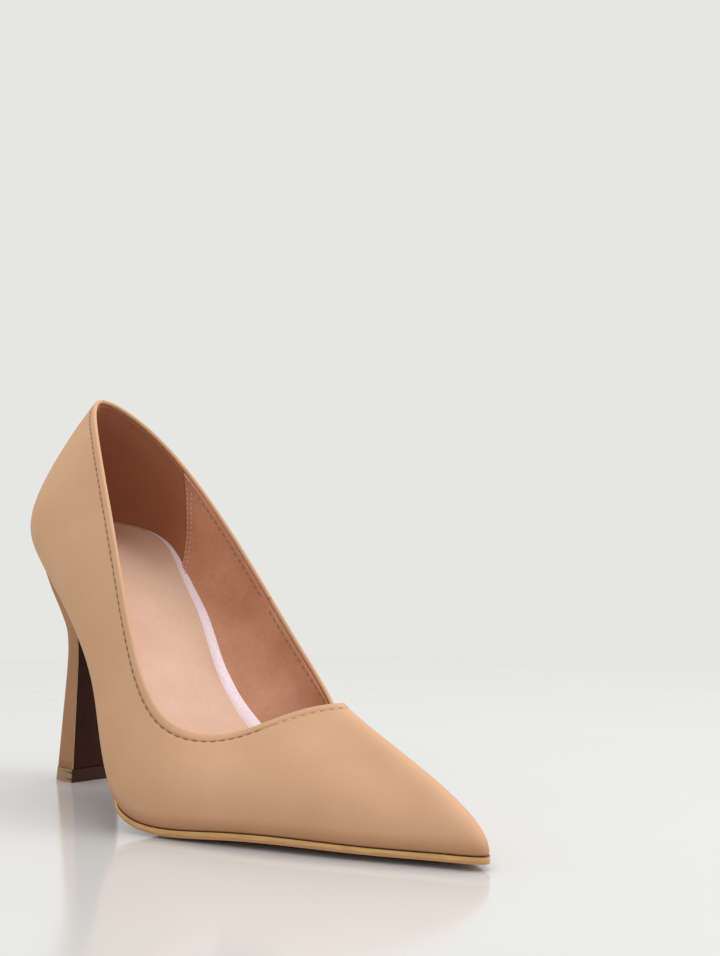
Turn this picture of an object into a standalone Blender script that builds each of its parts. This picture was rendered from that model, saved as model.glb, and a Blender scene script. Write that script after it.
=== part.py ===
"""High heel pump, right shoe: pointed toe, sweetheart throat, high back and a flared covered heel.

World axes: toe towards -Y, outer side towards -X, +Z up, origin under the middle of the shoe's box.
Design lengths are in millimetres. A design point is (s, x, z): s runs back from the tip of the toe.
"""

import math

import bmesh
import bpy
import numpy as np
from mathutils import Matrix, Vector

MM = 0.001
ORIGIN_S = 116.6  # the origin's distance behind the tip of the toe
ORIGIN_X = -4.32  # the origin's place across the shoe
GROUND = 1.0  # height of the ground in design points
GAP = 0.3  # clearance between touching pieces

# The feather line, where the upper meets the sole: tip of the toe, outer side, heel, inner side.
FEATHER_OUTER = (
    (0, 0, 5),
    (10.5, -6.5, 5),
    (35, -18, 5),
    (75, -34, 5),
    (112.5, -45, 6.8),
    (142, -35.6, 34),
    (175, -28, 65.5),
    (207, -22.5, 88),
)
FEATHER_HEEL = (232, 0, 93)
FEATHER_INNER = (
    (203, 22, 88.5),
    (170, 17, 65),
    (140, 21, 34),
    (104, 34, 6.5),
    (70, 33, 4.5),
    (35, 20, 5),
    (10.5, 8, 5),
)

# The topline from the throat's peak to the top of the back, the same on both sides.
TOPLINE = (
    (61.5, 0, 42.5),
    (66, 6.5, 41.5),
    (76, 16.5, 37),
    (89, 25.5, 32.5),
    (104, 36, 37.5),
    (125.5, 34.5, 62),
    (151, 26, 99),
    (181.5, 13.8, 135),
    (198.5, 0, 149),
)

# Shape of the wall at each rib: rise and bulge at the feather line, drop and crown at the topline.
WALL_OUTER = (
    (12, 2.2, 19, 0.3),
    (10.5, 3.5, 21, 0),
    (10.5, 3.5, 16, 4),
    (12, 4, 12, 4),
    (13, 4.5, 11, 4),
    (16, 6.5, 13, 4),
    (17, 9.5, 14.5, 4),
    (17, 11, 14, 2.5),
    (16, 9, 14, 8.5),
)
WALL_INNER = (
    (15, 8, 14, 4),
    (17, 8.5, 14.5, 4),
    (16, 8, 13, 4),
    (13, 4, 11, 4),
    (12, 4, 12, 4),
    (10.5, 3.5, 16, 4),
    (10.5, 3.5, 21, 0),
)
HEEL_RIB = 8  # rib at the back of the heel; rib 0 is the toe
RIBS = 16

# Layers, counted inwards from the outer face of the upper.
UPPER_THICK = 1.1
LINING_THICK = 0.7
STIFFENER_THICK = 0.8
LASTING_MARGIN = 9.0  # how far the upper turns in under the insole board

# Layers of the bottom: heights above the feather line.
SHANK_TOP = 1.1
BOARD = (1.8, 3.3)
FOAM = (3.7, 5.3)
SOCK = (5.7, 6.3)

# Where each sheet begins behind the toe, and its distance in from the feather line.
BOARD_START, BOARD_INSET = 10.5, 3.9
SOCK_START, SOCK_INSET = 15.0, 4.6

# Rib numbers where the pieces of the wall end, at the feather line and at the topline.
BACK_SEAM = (8.0, 8.0)
WAIST_SEAM = (10.35, 10.7)
GRIP_SEAM_OUTER = (6.7, 6.6)
GRIP_SEAM_INNER = (9.95, 9.4)
VAMP_LINING_OUTER = (3.0, 3.0)
VAMP_LINING_INNER = (13.0, 13.0)
COUNTER_OUTER = (6.2, 6.4)
COUNTER_INNER = (9.8, 9.6)
PUFF_OUTER = (2.0, 1.6)
PUFF_INNER = (14.0, 14.4)

OUTSOLE_END = 196.0
SHANK_ENDS = (97.0, 219.0)
SHANK_HALF_WIDTH = 5.0
FILLER_ENDS = (22.0, 94.0)
FILLER_CLEAR = 1.5  # between the filler's edge and the turned-in upper
FILLER_LIFT = 0.1  # the filler's underside above the feather line

# The sole unit: how far out it stands, how thick its edge is, how much deeper it gets in the middle of
# the tread, and how narrow it gets under the waist.
SOLE_EDGE = -GAP
SOLE_TOE, SOLE_BALL, SOLE_WAIST = 1.7, 1.9, 1.2
SOLE_CAMBER = 2.6
WAIST_SHARE = 0.7

# The heel from the ground up: height, front, depth, half width and squareness of the section.
HEEL_SECTIONS = (
    (0, 200.8, 13.2, 11.0, 8),
    (6, 200.8, 12.6, 10.6, 8),
    (22, 200.6, 11.4, 10.0, 7),
    (38, 200.4, 10.2, 9.4, 6),
    (50, 200.0, 9.6, 9.2, 5),
    (59, 199.2, 11.0, 10.4, 4),
    (68, 198.3, 15.5, 13.4, 3.2),
    (77, 197.5, 22.5, 17.0, 2.6),
)
SEAT_FRONT = 197.2
SEAT_SQUARENESS = 2.3
SEAT_INSET = 0.4  # the top edge's distance in from the feather line
SEAT_CLEAR = GAP + 0.1  # and below it
TIP_HEIGHT = 6.0  # top of the top piece
WRAP_THICK = 0.6
CORE_INSET = WRAP_THICK + 3 * GAP
BREAST_FRONT = 0.25  # how far the breast cover and the core stand back from the front edges of the wrap
CORE_FRONT = BREAST_FRONT + WRAP_THICK + GAP
TIP_PROUD = 0.15
TUBE_S = 204.4
TUBE_RADIUS = 1.9
TUBE_WALL = 0.6
TUBE_SPAN = (9.0, 72.0)
PIN_RADIUS = 1.0
PIN_SPAN = (2.3, 26.0)
SCREW_S = 208.0
SCREW_RADIUS = 1.6
SCREW_HEAD = 3.0
SCREW_DEPTH = 15.0
NAILS = ((206, -9.5), (206, 9.5), (220, -6.5), (220, 6.5))
NAIL_RADIUS = 0.8
NAIL_DEPTH = 9.0
RIVETS = (108.0, 185.0)
RIVET_RADIUS = 1.5

RIB_SPACING = 28.0  # mean distance between ribs, to turn a clearance into rib numbers
TOE_PULL = 0.45  # share of its depth by which each layer falls back at the tip of the toe
TOE_REACH = 1.5  # how far round from the toe that goes, in ribs
TOE_HALF_WIDTH = 0.3  # least half width of an inner layer there, one rib from the toe
CENTRE_CLEAR = 0.4  # an inset line stops this far from the middle, where its two halves would cross

COLUMNS_PER_RIB = 5
WALL_ROWS = (0.06, 0.18, 0.32, 0.5, 0.68, 0.84, 1.0)
COUNTER_ROWS = WALL_ROWS[:5]
PUFF_ROWS = WALL_ROWS[:4]
LINING_TOP = 0.985


# ---------------------------------------------------------------- the shape of the last


def rib_table():
    """Feather point, topline point and wall shape of each rib, as arrays."""
    feather = np.array(FEATHER_OUTER + (FEATHER_HEEL,) + FEATHER_INNER, float)
    outer_top = np.array(TOPLINE, float) * (1, -1, 1)
    inner_top = np.array(TOPLINE, float)[HEEL_RIB - 1 : 0 : -1]
    topline = np.vstack([outer_top, inner_top])
    walls = np.array(WALL_OUTER + WALL_INNER, float)
    return feather, topline, walls


def unit(vectors):
    return vectors / np.linalg.norm(vectors, axis=-1, keepdims=True)


def plan_normal(tangent):
    """Outward horizontal normal of a line that runs round the shoe from the toe by the outer side."""
    flat = np.stack([tangent[:, 1], -tangent[:, 0], np.zeros(len(tangent))], 1)
    return unit(flat)


def rib_rails():
    """Rib parameters from 0 to 1 and, for each rib, the four control points of its Bezier curve."""
    feather, topline, walls = rib_table()
    step = np.sqrt(np.linalg.norm(np.roll(feather, -1, 0) - feather, axis=1))
    step += 0.5 * np.sqrt(np.linalg.norm(np.roll(topline, -1, 0) - topline, axis=1))
    knots = np.concatenate([[0], np.cumsum(step)[:-1]]) / step.sum()
    outward = plan_normal(np.roll(feather, -1, 0) - np.roll(feather, 1, 0))
    up = np.array([0, 0, 1.0])
    chord = unit(topline - feather)
    crown = outward + up
    crown = unit(crown - (crown * chord).sum(1, keepdims=True) * chord)
    low = feather + walls[:, 0:1] * up + walls[:, 1:2] * outward
    high = topline - walls[:, 2:3] * chord + walls[:, 3:4] * crown
    return knots, np.hstack([feather, low, high, topline])


def spline_curvatures(knots, values):
    """Second derivatives of the periodic cubic spline through the values at the knots."""
    count = len(knots)
    gaps = np.diff(np.append(knots, 1.0))
    matrix = np.zeros((count, count))
    right = np.zeros((count, values.shape[1]))
    for i in range(count):
        before, after = gaps[i - 1], gaps[i]
        following = (i + 1) % count
        matrix[i, i - 1] += before
        matrix[i, i] += 2 * (before + after)
        matrix[i, following] += after
        right[i] = 6 * ((values[following] - values[i]) / after - (values[i] - values[i - 1]) / before)
    return np.linalg.solve(matrix, right)


KNOTS, RAILS = rib_rails()
CURVATURES = spline_curvatures(KNOTS, RAILS)


def rails_at(u):
    """The four rails of the wall at parameter u, from a smooth spline through the ribs."""
    u = np.mod(np.asarray(u, float), 1.0)
    i = np.clip(np.searchsorted(KNOTS, u, side="right") - 1, 0, RIBS - 1)
    j = (i + 1) % RIBS
    gap = np.diff(np.append(KNOTS, 1.0))[i][:, None]
    a = (u[:, None] - KNOTS[i][:, None]) / gap
    b = 1 - a
    bend = (b**3 - b) * CURVATURES[i] + (a**3 - a) * CURVATURES[j]
    return b * RAILS[i] + a * RAILS[j] + gap**2 / 6 * bend


def rib_parameter(rib):
    """Parameter of a place given in rib numbers, such as 6.5 for half way between ribs 6 and 7."""
    turns = np.floor(np.asarray(rib, float) / RIBS)
    return np.interp(np.mod(rib, RIBS), np.arange(RIBS + 1), np.append(KNOTS, 1.0)) + turns


def wall_point(u, v):
    """A point of the outer face: v is 0 at the feather line and 1 at the topline."""
    rails = rails_at(u)
    v = np.asarray(v, float)[:, None]
    weights = ((1 - v) ** 3, 3 * v * (1 - v) ** 2, 3 * v**2 * (1 - v), v**3)
    return sum(w * rails[:, 3 * k : 3 * k + 3] for k, w in enumerate(weights))


def ramp(value, start, end):
    """Rises smoothly from 0 at start to 1 at end."""
    t = np.clip((value - start) / (end - start), 0, 1)
    return t * t * (3 - 2 * t)


def wall(u, v, inset=0.0):
    """A point under the outer face, inset along the face's normal.

    The inset is level near the feather line. At the pointed toe each layer is blunter than the last.
    """
    u, v = np.broadcast_arrays(np.asarray(u, float), np.asarray(v, float))
    shape = u.shape
    u, v = u.ravel(), v.ravel()
    nudge = 1e-4
    along = wall_point(u + nudge, v) - wall_point(u - nudge, v)
    upward = wall_point(u, np.minimum(v + nudge, 1)) - wall_point(u, np.maximum(v - nudge, 0))
    normal = unit(np.cross(along, upward))
    normal[:, 2] *= ramp(v, 0.05, 0.35)
    depth = np.broadcast_to(inset, shape).ravel()
    point = wall_point(u, v) - unit(normal) * depth[:, None]
    turn = np.mod(u, 1.0)
    side = np.where(turn < 0.5, -1, 1)
    from_toe = np.minimum(turn, 1 - turn) / KNOTS[1]
    tip = (1 - ramp(from_toe, 0, TOE_REACH)) * (1 - ramp(v, 0.15, 0.5))
    point[:, 0] += TOE_PULL * depth * tip
    layered = (depth > 0) & (from_toe < TOE_REACH)
    narrowest = np.maximum(side * point[:, 1], TOE_HALF_WIDTH * from_toe)
    point[layered, 1] = (side * narrowest)[layered]
    return point.reshape(shape + (3,))


def feather_line(u, inset):
    """The feather line moved inwards in plan."""
    u = np.asarray(u, float)
    nudge = 1e-4
    tangent = rails_at(u + nudge)[:, :3] - rails_at(u - nudge)[:, :3]
    depth = np.broadcast_to(inset, u.shape)[:, None]
    return rails_at(u)[:, :3] - plan_normal(tangent) * depth


SIDE_SAMPLES = 160
HEEL_KNOT = KNOTS[HEEL_RIB]


def side_line(side, inset):
    """The outer (side -1) or inner (side 1) half of the inset feather line, toe to heel."""
    u = np.linspace(0, HEEL_KNOT if side < 0 else HEEL_KNOT - 1, SIDE_SAMPLES)
    line = feather_line(u, inset)
    return line[side * line[:, 1] > CENTRE_CLEAR] if inset > 0 else line


OUTER_EDGE, INNER_EDGE = side_line(-1, 0), side_line(1, 0)


def bottom_height(s, x):
    """Height of the bottom of the foot, which runs straight across between the feather lines."""
    outer_x, outer_z = (np.interp(s, OUTER_EDGE[:, 0], OUTER_EDGE[:, k]) for k in (1, 2))
    inner_x, inner_z = (np.interp(s, INNER_EDGE[:, 0], INNER_EDGE[:, k]) for k in (1, 2))
    share = np.clip((x - outer_x) / np.maximum(inner_x - outer_x, 0.01), 0, 1)
    return outer_z + share * (inner_z - outer_z)


def bottom_normal(s):
    """Upward normal of the bottom, in the plane of s and z."""
    s = np.asarray(s, float)
    reach = 4.0
    slope = (bottom_height(s + reach, 0) - bottom_height(s - reach, 0)) / (2 * reach)
    return unit(np.stack([-slope, 0 * slope, 1 + 0 * slope], -1))


def on_bottom(line):
    """Points moved up or down onto the bottom of the foot."""
    s, x = line[..., 0], line[..., 1]
    return np.stack([s, x, bottom_height(s, x)], -1)


# ---------------------------------------------------------------- building solids


def to_world(points):
    """World metres from design millimetres."""
    points = np.asarray(points, float)
    x, y, z = points[..., 1] - ORIGIN_X, points[..., 0] - ORIGIN_S, points[..., 2] - GROUND
    return np.stack([x, y, z], -1) * MM


def material(name, colour, roughness, metallic=0.0):
    surface = bpy.data.materials.new(name)
    surface.use_nodes = True
    shader = surface.node_tree.nodes["Principled BSDF"]
    shader.inputs["Base Color"].default_value = (*colour, 1)
    shader.inputs["Roughness"].default_value = roughness
    shader.inputs["Metallic"].default_value = metallic
    surface.diffuse_color = (*colour, 1)
    return surface


def add_object(name, mesh, surface):
    mesh.shade_smooth()
    mesh.set_sharp_from_angle(angle=math.radians(35))
    mesh.materials.append(surface)
    obj = bpy.data.objects.new(name, mesh)
    bpy.context.scene.collection.objects.link(obj)
    return obj


def solid_between(name, front, back, surface):
    """A closed solid between two grids of points of the same size, joined round their borders."""
    rows, columns = front.shape[:2]
    shell = bmesh.new()
    grids = [[[shell.verts.new(p) for p in row] for row in to_world(grid)] for grid in (front, back)]
    for grid in grids:
        for i in range(rows - 1):
            for j in range(columns - 1):
                shell.faces.new((grid[i][j], grid[i][j + 1], grid[i + 1][j + 1], grid[i + 1][j]))
    border = [(0, j) for j in range(columns)]
    border += [(i, columns - 1) for i in range(1, rows)]
    border += [(rows - 1, j) for j in range(columns - 2, -1, -1)]
    border += [(i, 0) for i in range(rows - 2, 0, -1)]
    for (i, j), (k, m) in zip(border, border[1:] + border[:1]):
        shell.faces.new((grids[0][i][j], grids[0][k][m], grids[1][k][m], grids[1][i][j]))
    bmesh.ops.remove_doubles(shell, verts=shell.verts, dist=1e-7)
    bmesh.ops.dissolve_degenerate(shell, edges=shell.edges, dist=1e-7)
    bmesh.ops.recalc_face_normals(shell, faces=shell.faces)
    if shell.calc_volume(signed=True) < 0:
        bmesh.ops.reverse_faces(shell, faces=shell.faces)
    mesh = bpy.data.meshes.new(name)
    shell.to_mesh(mesh)
    shell.free()
    return add_object(name, mesh, surface)


def rod(name, start, end, radius, surface, sides=12):
    """A round bar between two design points."""
    low, high = Vector(to_world(start)), Vector(to_world(end))
    shell = bmesh.new()
    bmesh.ops.create_cone(
        shell,
        cap_ends=True,
        segments=sides,
        radius1=radius * MM,
        radius2=radius * MM,
        depth=(high - low).length,
    )
    turn = (high - low).to_track_quat("Z", "Y").to_matrix().to_4x4()
    bmesh.ops.transform(shell, matrix=Matrix.Translation((low + high) / 2) @ turn, verts=shell.verts)
    mesh = bpy.data.meshes.new(name)
    shell.to_mesh(mesh)
    shell.free()
    return add_object(name, mesh, surface)


def hidden_tool(name, start, end, radius, sides=12):
    """A round bar that only shapes other pieces."""
    tool = rod(name, start, end, radius, material(name, (0.5, 0.5, 0.5), 0.5), sides)
    tool.hide_render = True
    tool.display_type = "WIRE"
    return tool


def combine(obj, other, operation):
    boolean = obj.modifiers.new(operation.lower() + "_" + other.name, "BOOLEAN")
    boolean.operation = operation
    boolean.object = other


def bottom_point(s, x, height):
    """A point at a height above the bottom of the foot, along its normal."""
    return on_bottom(np.array([s, x, 0.0])) + height * bottom_normal(s)


def drill(obj, name, place, span, radius, sides=12):
    """Cuts a round hole square to the bottom of the foot, between two heights above it."""
    ends = (bottom_point(*place, height) for height in span)
    combine(obj, hidden_tool(name, *ends, radius, sides), "DIFFERENCE")


def bore_upright(obj, name, span, radius, sides=12):
    """Cuts a round hole up the middle of the heel, between two heights above the ground."""
    ends = ((TUBE_S, 0, height) for height in span)
    combine(obj, hidden_tool(name, *ends, radius, sides), "DIFFERENCE")


# ---------------------------------------------------------------- the wall: upper, linings, stiffeners


def columns_between(start, end):
    """Rib numbers at the feather line and at the topline for each column of a wall piece.

    Columns between the two ends fall on the same places in every piece, so that layers stay parallel.
    """
    first = math.floor(max(start) * COLUMNS_PER_RIB + 0.5) + 1
    last = math.ceil(min(end) * COLUMNS_PER_RIB - 0.5) - 1
    shared = np.arange(first, last + 1) / COLUMNS_PER_RIB
    return [np.concatenate([[start[k]], shared, [end[k]]]) for k in (0, 1)]


def wall_parameters(start, end, rows):
    """Grids of u and v for a wall piece: rows go up the wall and columns go round it."""
    low, high = columns_between(start, end)
    v = np.array(rows)[:, None]
    rib = low + (high - low) * v
    return rib_parameter(rib), np.broadcast_to(v, rib.shape)


def before_toe(seam):
    """The same seam counted from the toe in the other direction."""
    return (seam[0] - RIBS, seam[1] - RIBS)


def between_seams(start, end):
    """The two ends of a piece, each half the clearance away from its seam."""
    share = 0.5 * GAP / RIB_SPACING
    return [rib + share for rib in start], [rib - share for rib in end]


def lasting_margin(half_width):
    """How far the upper turns in: less where the shoe is narrow."""
    return np.minimum(0.3 * half_width + 1.5, LASTING_MARGIN)


def upper_piece(name, start, end, surface):
    """A piece of the upper: a wall with its lower edge turned in under the insole board."""
    start, end = between_seams(start, end)
    u, v = wall_parameters(start, end, WALL_ROWS)
    outer, inner = wall(u, v), wall(u, v, UPPER_THICK)
    base = rib_parameter(columns_between(start, end)[0])
    feather = feather_line(base, 0)
    margin = lasting_margin(np.abs(feather[:, 1]))
    lift = UPPER_THICK * bottom_normal(feather[:, 0])
    turned = on_bottom(feather_line(base, margin))
    corner = on_bottom(feather_line(base, UPPER_THICK))
    outer = np.concatenate([turned[None], feather[None], outer])
    inner = np.concatenate([(turned + lift)[None], (corner + lift)[None], inner])
    return solid_between(name, outer, inner, surface)


def stiffener_room(rib, v):
    """How far the lining stands in from the upper to leave room for the toe puff and the counter."""
    rib = np.mod(rib, RIBS)
    from_toe = np.minimum(rib, RIBS - rib)
    counter = ramp(from_toe, 5.6, 6.1) * (1 - ramp(v, 0.7, 0.95))
    puff = (1 - ramp(from_toe, 2.1, 2.7)) * (1 - ramp(v, 0.5, 0.8))
    return (STIFFENER_THICK + 1.3 * GAP) * np.maximum(counter, puff)


def lining_piece(name, start, end, surface):
    low, high = columns_between(*between_seams(start, end))
    v = np.array(WALL_ROWS[:-1] + (LINING_TOP,))[:, None]
    rib = low + (high - low) * v
    room = stiffener_room(rib, v)
    outside = UPPER_THICK + 1.5 * GAP + room
    u = rib_parameter(rib)
    return solid_between(name, wall(u, v, outside), wall(u, v, outside + LINING_THICK), surface)


def stiffener(name, start, end, rows, surface):
    u, v = wall_parameters(start, end, rows)
    outside = UPPER_THICK + 1.2 * GAP
    return solid_between(name, wall(u, v, outside), wall(u, v, outside + STIFFENER_THICK), surface)


# ---------------------------------------------------------------- the bottom: sole, board, shank, sock


def plate_rows(stations, inset, across):
    """Points across the bottom from the outer side to the inner side at each station."""
    outer, inner = side_line(-1, inset), side_line(1, inset)
    outer_x = np.interp(stations, outer[:, 0], outer[:, 1])[:, None]
    inner_x = np.interp(stations, inner[:, 0], inner[:, 1])[:, None]
    share = np.linspace(0, 1, across + 1)
    x = outer_x * (1 - share) + inner_x * share
    s = np.broadcast_to(stations[:, None], x.shape)
    return on_bottom(np.stack([s, x, 0 * x], -1))


def whole_length(start, inset, count):
    """Stations from a start near the toe to the heel, closer together at both ends."""
    end = min(side_line(side, inset)[-1, 0] for side in (-1, 1))
    turn = np.linspace(0, math.pi, count)
    return start + (end - start) * (1 - np.cos(turn)) / 2


def plate(name, stations, inset, span, surface, across=4):
    """A sheet that follows the bottom, between two heights above the feather line."""
    rows = plate_rows(stations, inset, across)
    normal = bottom_normal(stations)[:, None]
    return solid_between(name, rows + span[1] * normal, rows + span[0] * normal, surface)


def outsole(surface):
    """The sole unit: proud of the upper at the forepart, narrow at the waist, flat at the tread."""
    forepart = whole_length(SOLE_EDGE, SOLE_EDGE, 60)[:34]
    stations = np.concatenate([forepart, np.linspace(forepart[-1] + 4, OUTSOLE_END, 14)])
    rows = plate_rows(stations, SOLE_EDGE, 8)
    tuck = 1 - (1 - WAIST_SHARE) * ramp(stations, 114, 140)
    middle = rows[..., 1].mean(axis=1, keepdims=True)
    rows[..., 1] = middle + (rows[..., 1] - middle) * tuck[:, None]
    rows = on_bottom(rows)
    normal = bottom_normal(stations)[:, None]
    edge = SOLE_TOE + (SOLE_BALL - SOLE_TOE) * ramp(stations, 20, 75)
    edge -= (SOLE_BALL - SOLE_WAIST) * ramp(stations, 95, 125)
    camber = SOLE_CAMBER * ramp(stations, 5, 60) * (1 - 0.6 * ramp(stations, 100, 125))
    half = np.maximum(0.5 * (rows[:, -1, 1] - rows[:, 0, 1]), MM)
    off_middle = np.abs(rows[..., 1] - middle) / half[:, None]
    thick = edge[:, None] + camber[:, None] * (1 - ramp(off_middle, 0.35, 1.0))
    top = rows - GAP * normal
    under = top - thick[..., None] * normal
    under[..., 2] = np.maximum(under[..., 2], GROUND)
    return solid_between("outsole", top, under, surface)


def insole_board(surface):
    stations = whole_length(BOARD_START, BOARD_INSET, 34)
    board = plate("insole_board", stations, BOARD_INSET, BOARD, surface)
    span = (BOARD[0] - 1, BOARD[1] + 1)
    drill(board, "screw_seat", (SCREW_S, 0), span, SCREW_HEAD + GAP)
    for number, place in enumerate(NAILS, 1):
        drill(board, f"nail_hole_{number}", place, span, NAIL_RADIUS + GAP, 8)
    for number, s in enumerate(RIVETS, 1):
        drill(board, f"rivet_hole_{number}", (s, 0), span, RIVET_RADIUS + GAP)


def shank(surface):
    """Spring steel strip along the waist, under the board and level with the turned-in margins."""
    stations = np.linspace(*SHANK_ENDS, 24)
    s, x = np.meshgrid(stations, np.linspace(-SHANK_HALF_WIDTH, SHANK_HALF_WIDTH, 3), indexing="ij")
    rows = on_bottom(np.stack([s, x, 0 * x], -1))
    normal = bottom_normal(stations)[:, None]
    strip = solid_between("steel_shank", rows + SHANK_TOP * normal, rows, surface)
    holes = [(s, RIVET_RADIUS + GAP) for s in RIVETS] + [(SCREW_S, SCREW_RADIUS + GAP)]
    for number, (s, radius) in enumerate(holes, 1):
        drill(strip, f"shank_hole_{number}", (s, 0), (-2, SHANK_TOP + 2), radius)


def bottom_filler(surface):
    """Cork and foam sheet that fills the forepart between the turned-in margins."""
    stations = np.linspace(*FILLER_ENDS, 14)
    rows = plate_rows(stations, 0, 4)
    middle = rows[..., 1].mean(axis=1, keepdims=True)
    half = 0.5 * (rows[:, -1, 1] - rows[:, 0, 1])
    share = 1 - (lasting_margin(half) + FILLER_CLEAR) / half
    rows[..., 1] = middle + (rows[..., 1] - middle) * share[:, None]
    rows = on_bottom(rows)
    normal = bottom_normal(stations)[:, None]
    solid_between("bottom_filler", rows + SHANK_TOP * normal, rows + FILLER_LIFT * normal, surface)


# ---------------------------------------------------------------- the heel

HEEL_COLUMNS = 20


def heel_numbers(height):
    """Front, depth, half width and squareness of the heel's section at a height."""
    table = np.array(HEEL_SECTIONS, float)
    return [np.interp(height, table[:, 0], table[:, k]) for k in range(1, 5)]


def heel_section(height, inset, front_inset):
    """The heel's outline at one height: round the back, and straight across the front."""
    front, depth, half, square = heel_numbers(height)
    turn = np.linspace(0, math.pi, HEEL_COLUMNS + 1)
    power = 2 / square
    across = -np.sign(np.cos(turn)) * np.abs(np.cos(turn)) ** power * (half - inset)
    start = front + front_inset
    back = start + (depth - inset - front_inset) * np.sin(turn).clip(0) ** power
    flat = np.full(HEEL_COLUMNS + 1, start)
    level = np.full(HEEL_COLUMNS + 1, float(height))
    line = np.linspace(across[0], across[-1], HEEL_COLUMNS + 1)
    return np.stack([back, across, level], -1), np.stack([flat, line, level], -1)


def seat_section(inset, front_inset):
    """The heel's top edge, which follows the bottom of the upper."""
    start = SEAT_FRONT + front_inset
    turn = np.linspace(0, math.pi, HEEL_COLUMNS + 1)
    outer, inner = (side_line(side, inset + SEAT_INSET) for side in (-1, 1))
    end = min(outer[-1, 0], inner[-1, 0])
    s = start + (end - start) * np.sin(turn).clip(0) ** (2 / SEAT_SQUARENESS)
    half = HEEL_COLUMNS // 2
    outer_x = np.interp(s[:half], outer[:, 0], outer[:, 1])
    inner_x = np.interp(s[half:], inner[:, 0], inner[:, 1])
    x = np.concatenate([outer_x, inner_x])
    back = np.stack([s, x, bottom_height(s, x) - SEAT_CLEAR], -1)
    share = np.linspace(0, 1, HEEL_COLUMNS + 1)[:, None]
    return back, back[0] * (1 - share) + back[-1] * share


def heel_grids(inset, front_inset, low):
    """Grids of the heel's round face and of its front face, from a height up to the seat."""
    levels = [low, *np.linspace(14, 74, 9)]
    sections = [heel_section(z, inset, front_inset) for z in levels]
    sections.append(seat_section(inset, front_inset))
    return np.array([a for a, _ in sections]), np.array([b for _, b in sections])


def heel_core(surface):
    back, front = heel_grids(CORE_INSET, CORE_FRONT, TIP_HEIGHT + GAP)
    core = solid_between("heel_core", back, front, surface)
    bore_upright(core, "tube_bore", (TIP_HEIGHT - 2, TUBE_SPAN[1] + 0.5), TUBE_RADIUS + GAP)
    drill(core, "screw_bore", (SCREW_S, 0), (-SCREW_DEPTH - 1, 2), SCREW_RADIUS + GAP)
    for number, place in enumerate(NAILS, 1):
        drill(core, f"nail_bore_{number}", place, (-NAIL_DEPTH - 1, 2), NAIL_RADIUS + GAP, 8)


def heel_wrap(surface):
    """The covering round the sides and back of the heel, open at the front."""
    outer, _ = heel_grids(0, 0, TIP_HEIGHT + GAP)
    inner, _ = heel_grids(WRAP_THICK, 0, TIP_HEIGHT + GAP)
    solid_between("heel_wrap", outer, inner, surface)


def breast_cover(surface):
    """The covering on the heel's front face, set just back from the edges of the wrap."""
    _, front = heel_grids(CORE_INSET, BREAST_FRONT, TIP_HEIGHT + GAP)
    _, behind = heel_grids(CORE_INSET, BREAST_FRONT + WRAP_THICK, TIP_HEIGHT + GAP)
    behind[..., 1] = front[..., 1]
    behind[-1, :, 2] = front[-1, :, 2]
    solid_between("heel_breast_cover", front, behind, surface)


def heel_tip(surface):
    sections = [heel_section(z, -TIP_PROUD, -TIP_PROUD) for z in (GROUND, TIP_HEIGHT)]
    back, front = (np.array(side) for side in zip(*sections))
    tip = solid_between("heel_tip", back, front, surface)
    bore_upright(tip, "pin_bore", (PIN_SPAN[0] - GAP, TIP_HEIGHT + 2), PIN_RADIUS + GAP)


def heel_tube(surface):
    low, high = TUBE_SPAN
    tube = rod("heel_tube", (TUBE_S, 0, low), (TUBE_S, 0, high), TUBE_RADIUS, surface, 16)
    bore_upright(tube, "tube_hollow", (low - 2, high + 2), TUBE_RADIUS - TUBE_WALL, 16)


def heel_screw(surface):
    """Holds the heel from inside the shoe, its head level with the insole board."""
    point, neck = (bottom_point(SCREW_S, 0, height) for height in (-SCREW_DEPTH, BOARD[0] + 0.3))
    screw = rod("heel_screw", point, neck, SCREW_RADIUS, surface)
    ends = (bottom_point(SCREW_S, 0, BOARD[0] + 0.1), bottom_point(SCREW_S, 0, BOARD[1] - 0.1))
    combine(screw, hidden_tool("screw_head", *ends, SCREW_HEAD, 16), "UNION")


# ---------------------------------------------------------------- assembly


def clear_scene():
    for obj in list(bpy.data.objects):
        bpy.data.objects.remove(obj)


def build_upper():
    nubuck = material("nubuck", (0.50, 0.31, 0.19), 0.75)
    lining = material("lining", (0.56, 0.33, 0.23), 0.6)
    grip = material("heel_grip", (0.36, 0.19, 0.12), 0.8)
    stiff = material("stiffener", (0.62, 0.56, 0.46), 0.7)
    upper_piece("vamp_and_outer_quarter", before_toe(WAIST_SEAM), BACK_SEAM, nubuck)
    upper_piece("inner_quarter", BACK_SEAM, WAIST_SEAM, nubuck)
    lining_piece("vamp_lining", before_toe(VAMP_LINING_INNER), VAMP_LINING_OUTER, lining)
    lining_piece("outer_quarter_lining", VAMP_LINING_OUTER, GRIP_SEAM_OUTER, lining)
    lining_piece("heel_grip_lining", GRIP_SEAM_OUTER, GRIP_SEAM_INNER, grip)
    lining_piece("inner_quarter_lining", GRIP_SEAM_INNER, VAMP_LINING_INNER, lining)
    stiffener("toe_puff", before_toe(PUFF_INNER), PUFF_OUTER, PUFF_ROWS, stiff)
    stiffener("heel_counter", COUNTER_OUTER, COUNTER_INNER, COUNTER_ROWS, stiff)


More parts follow.
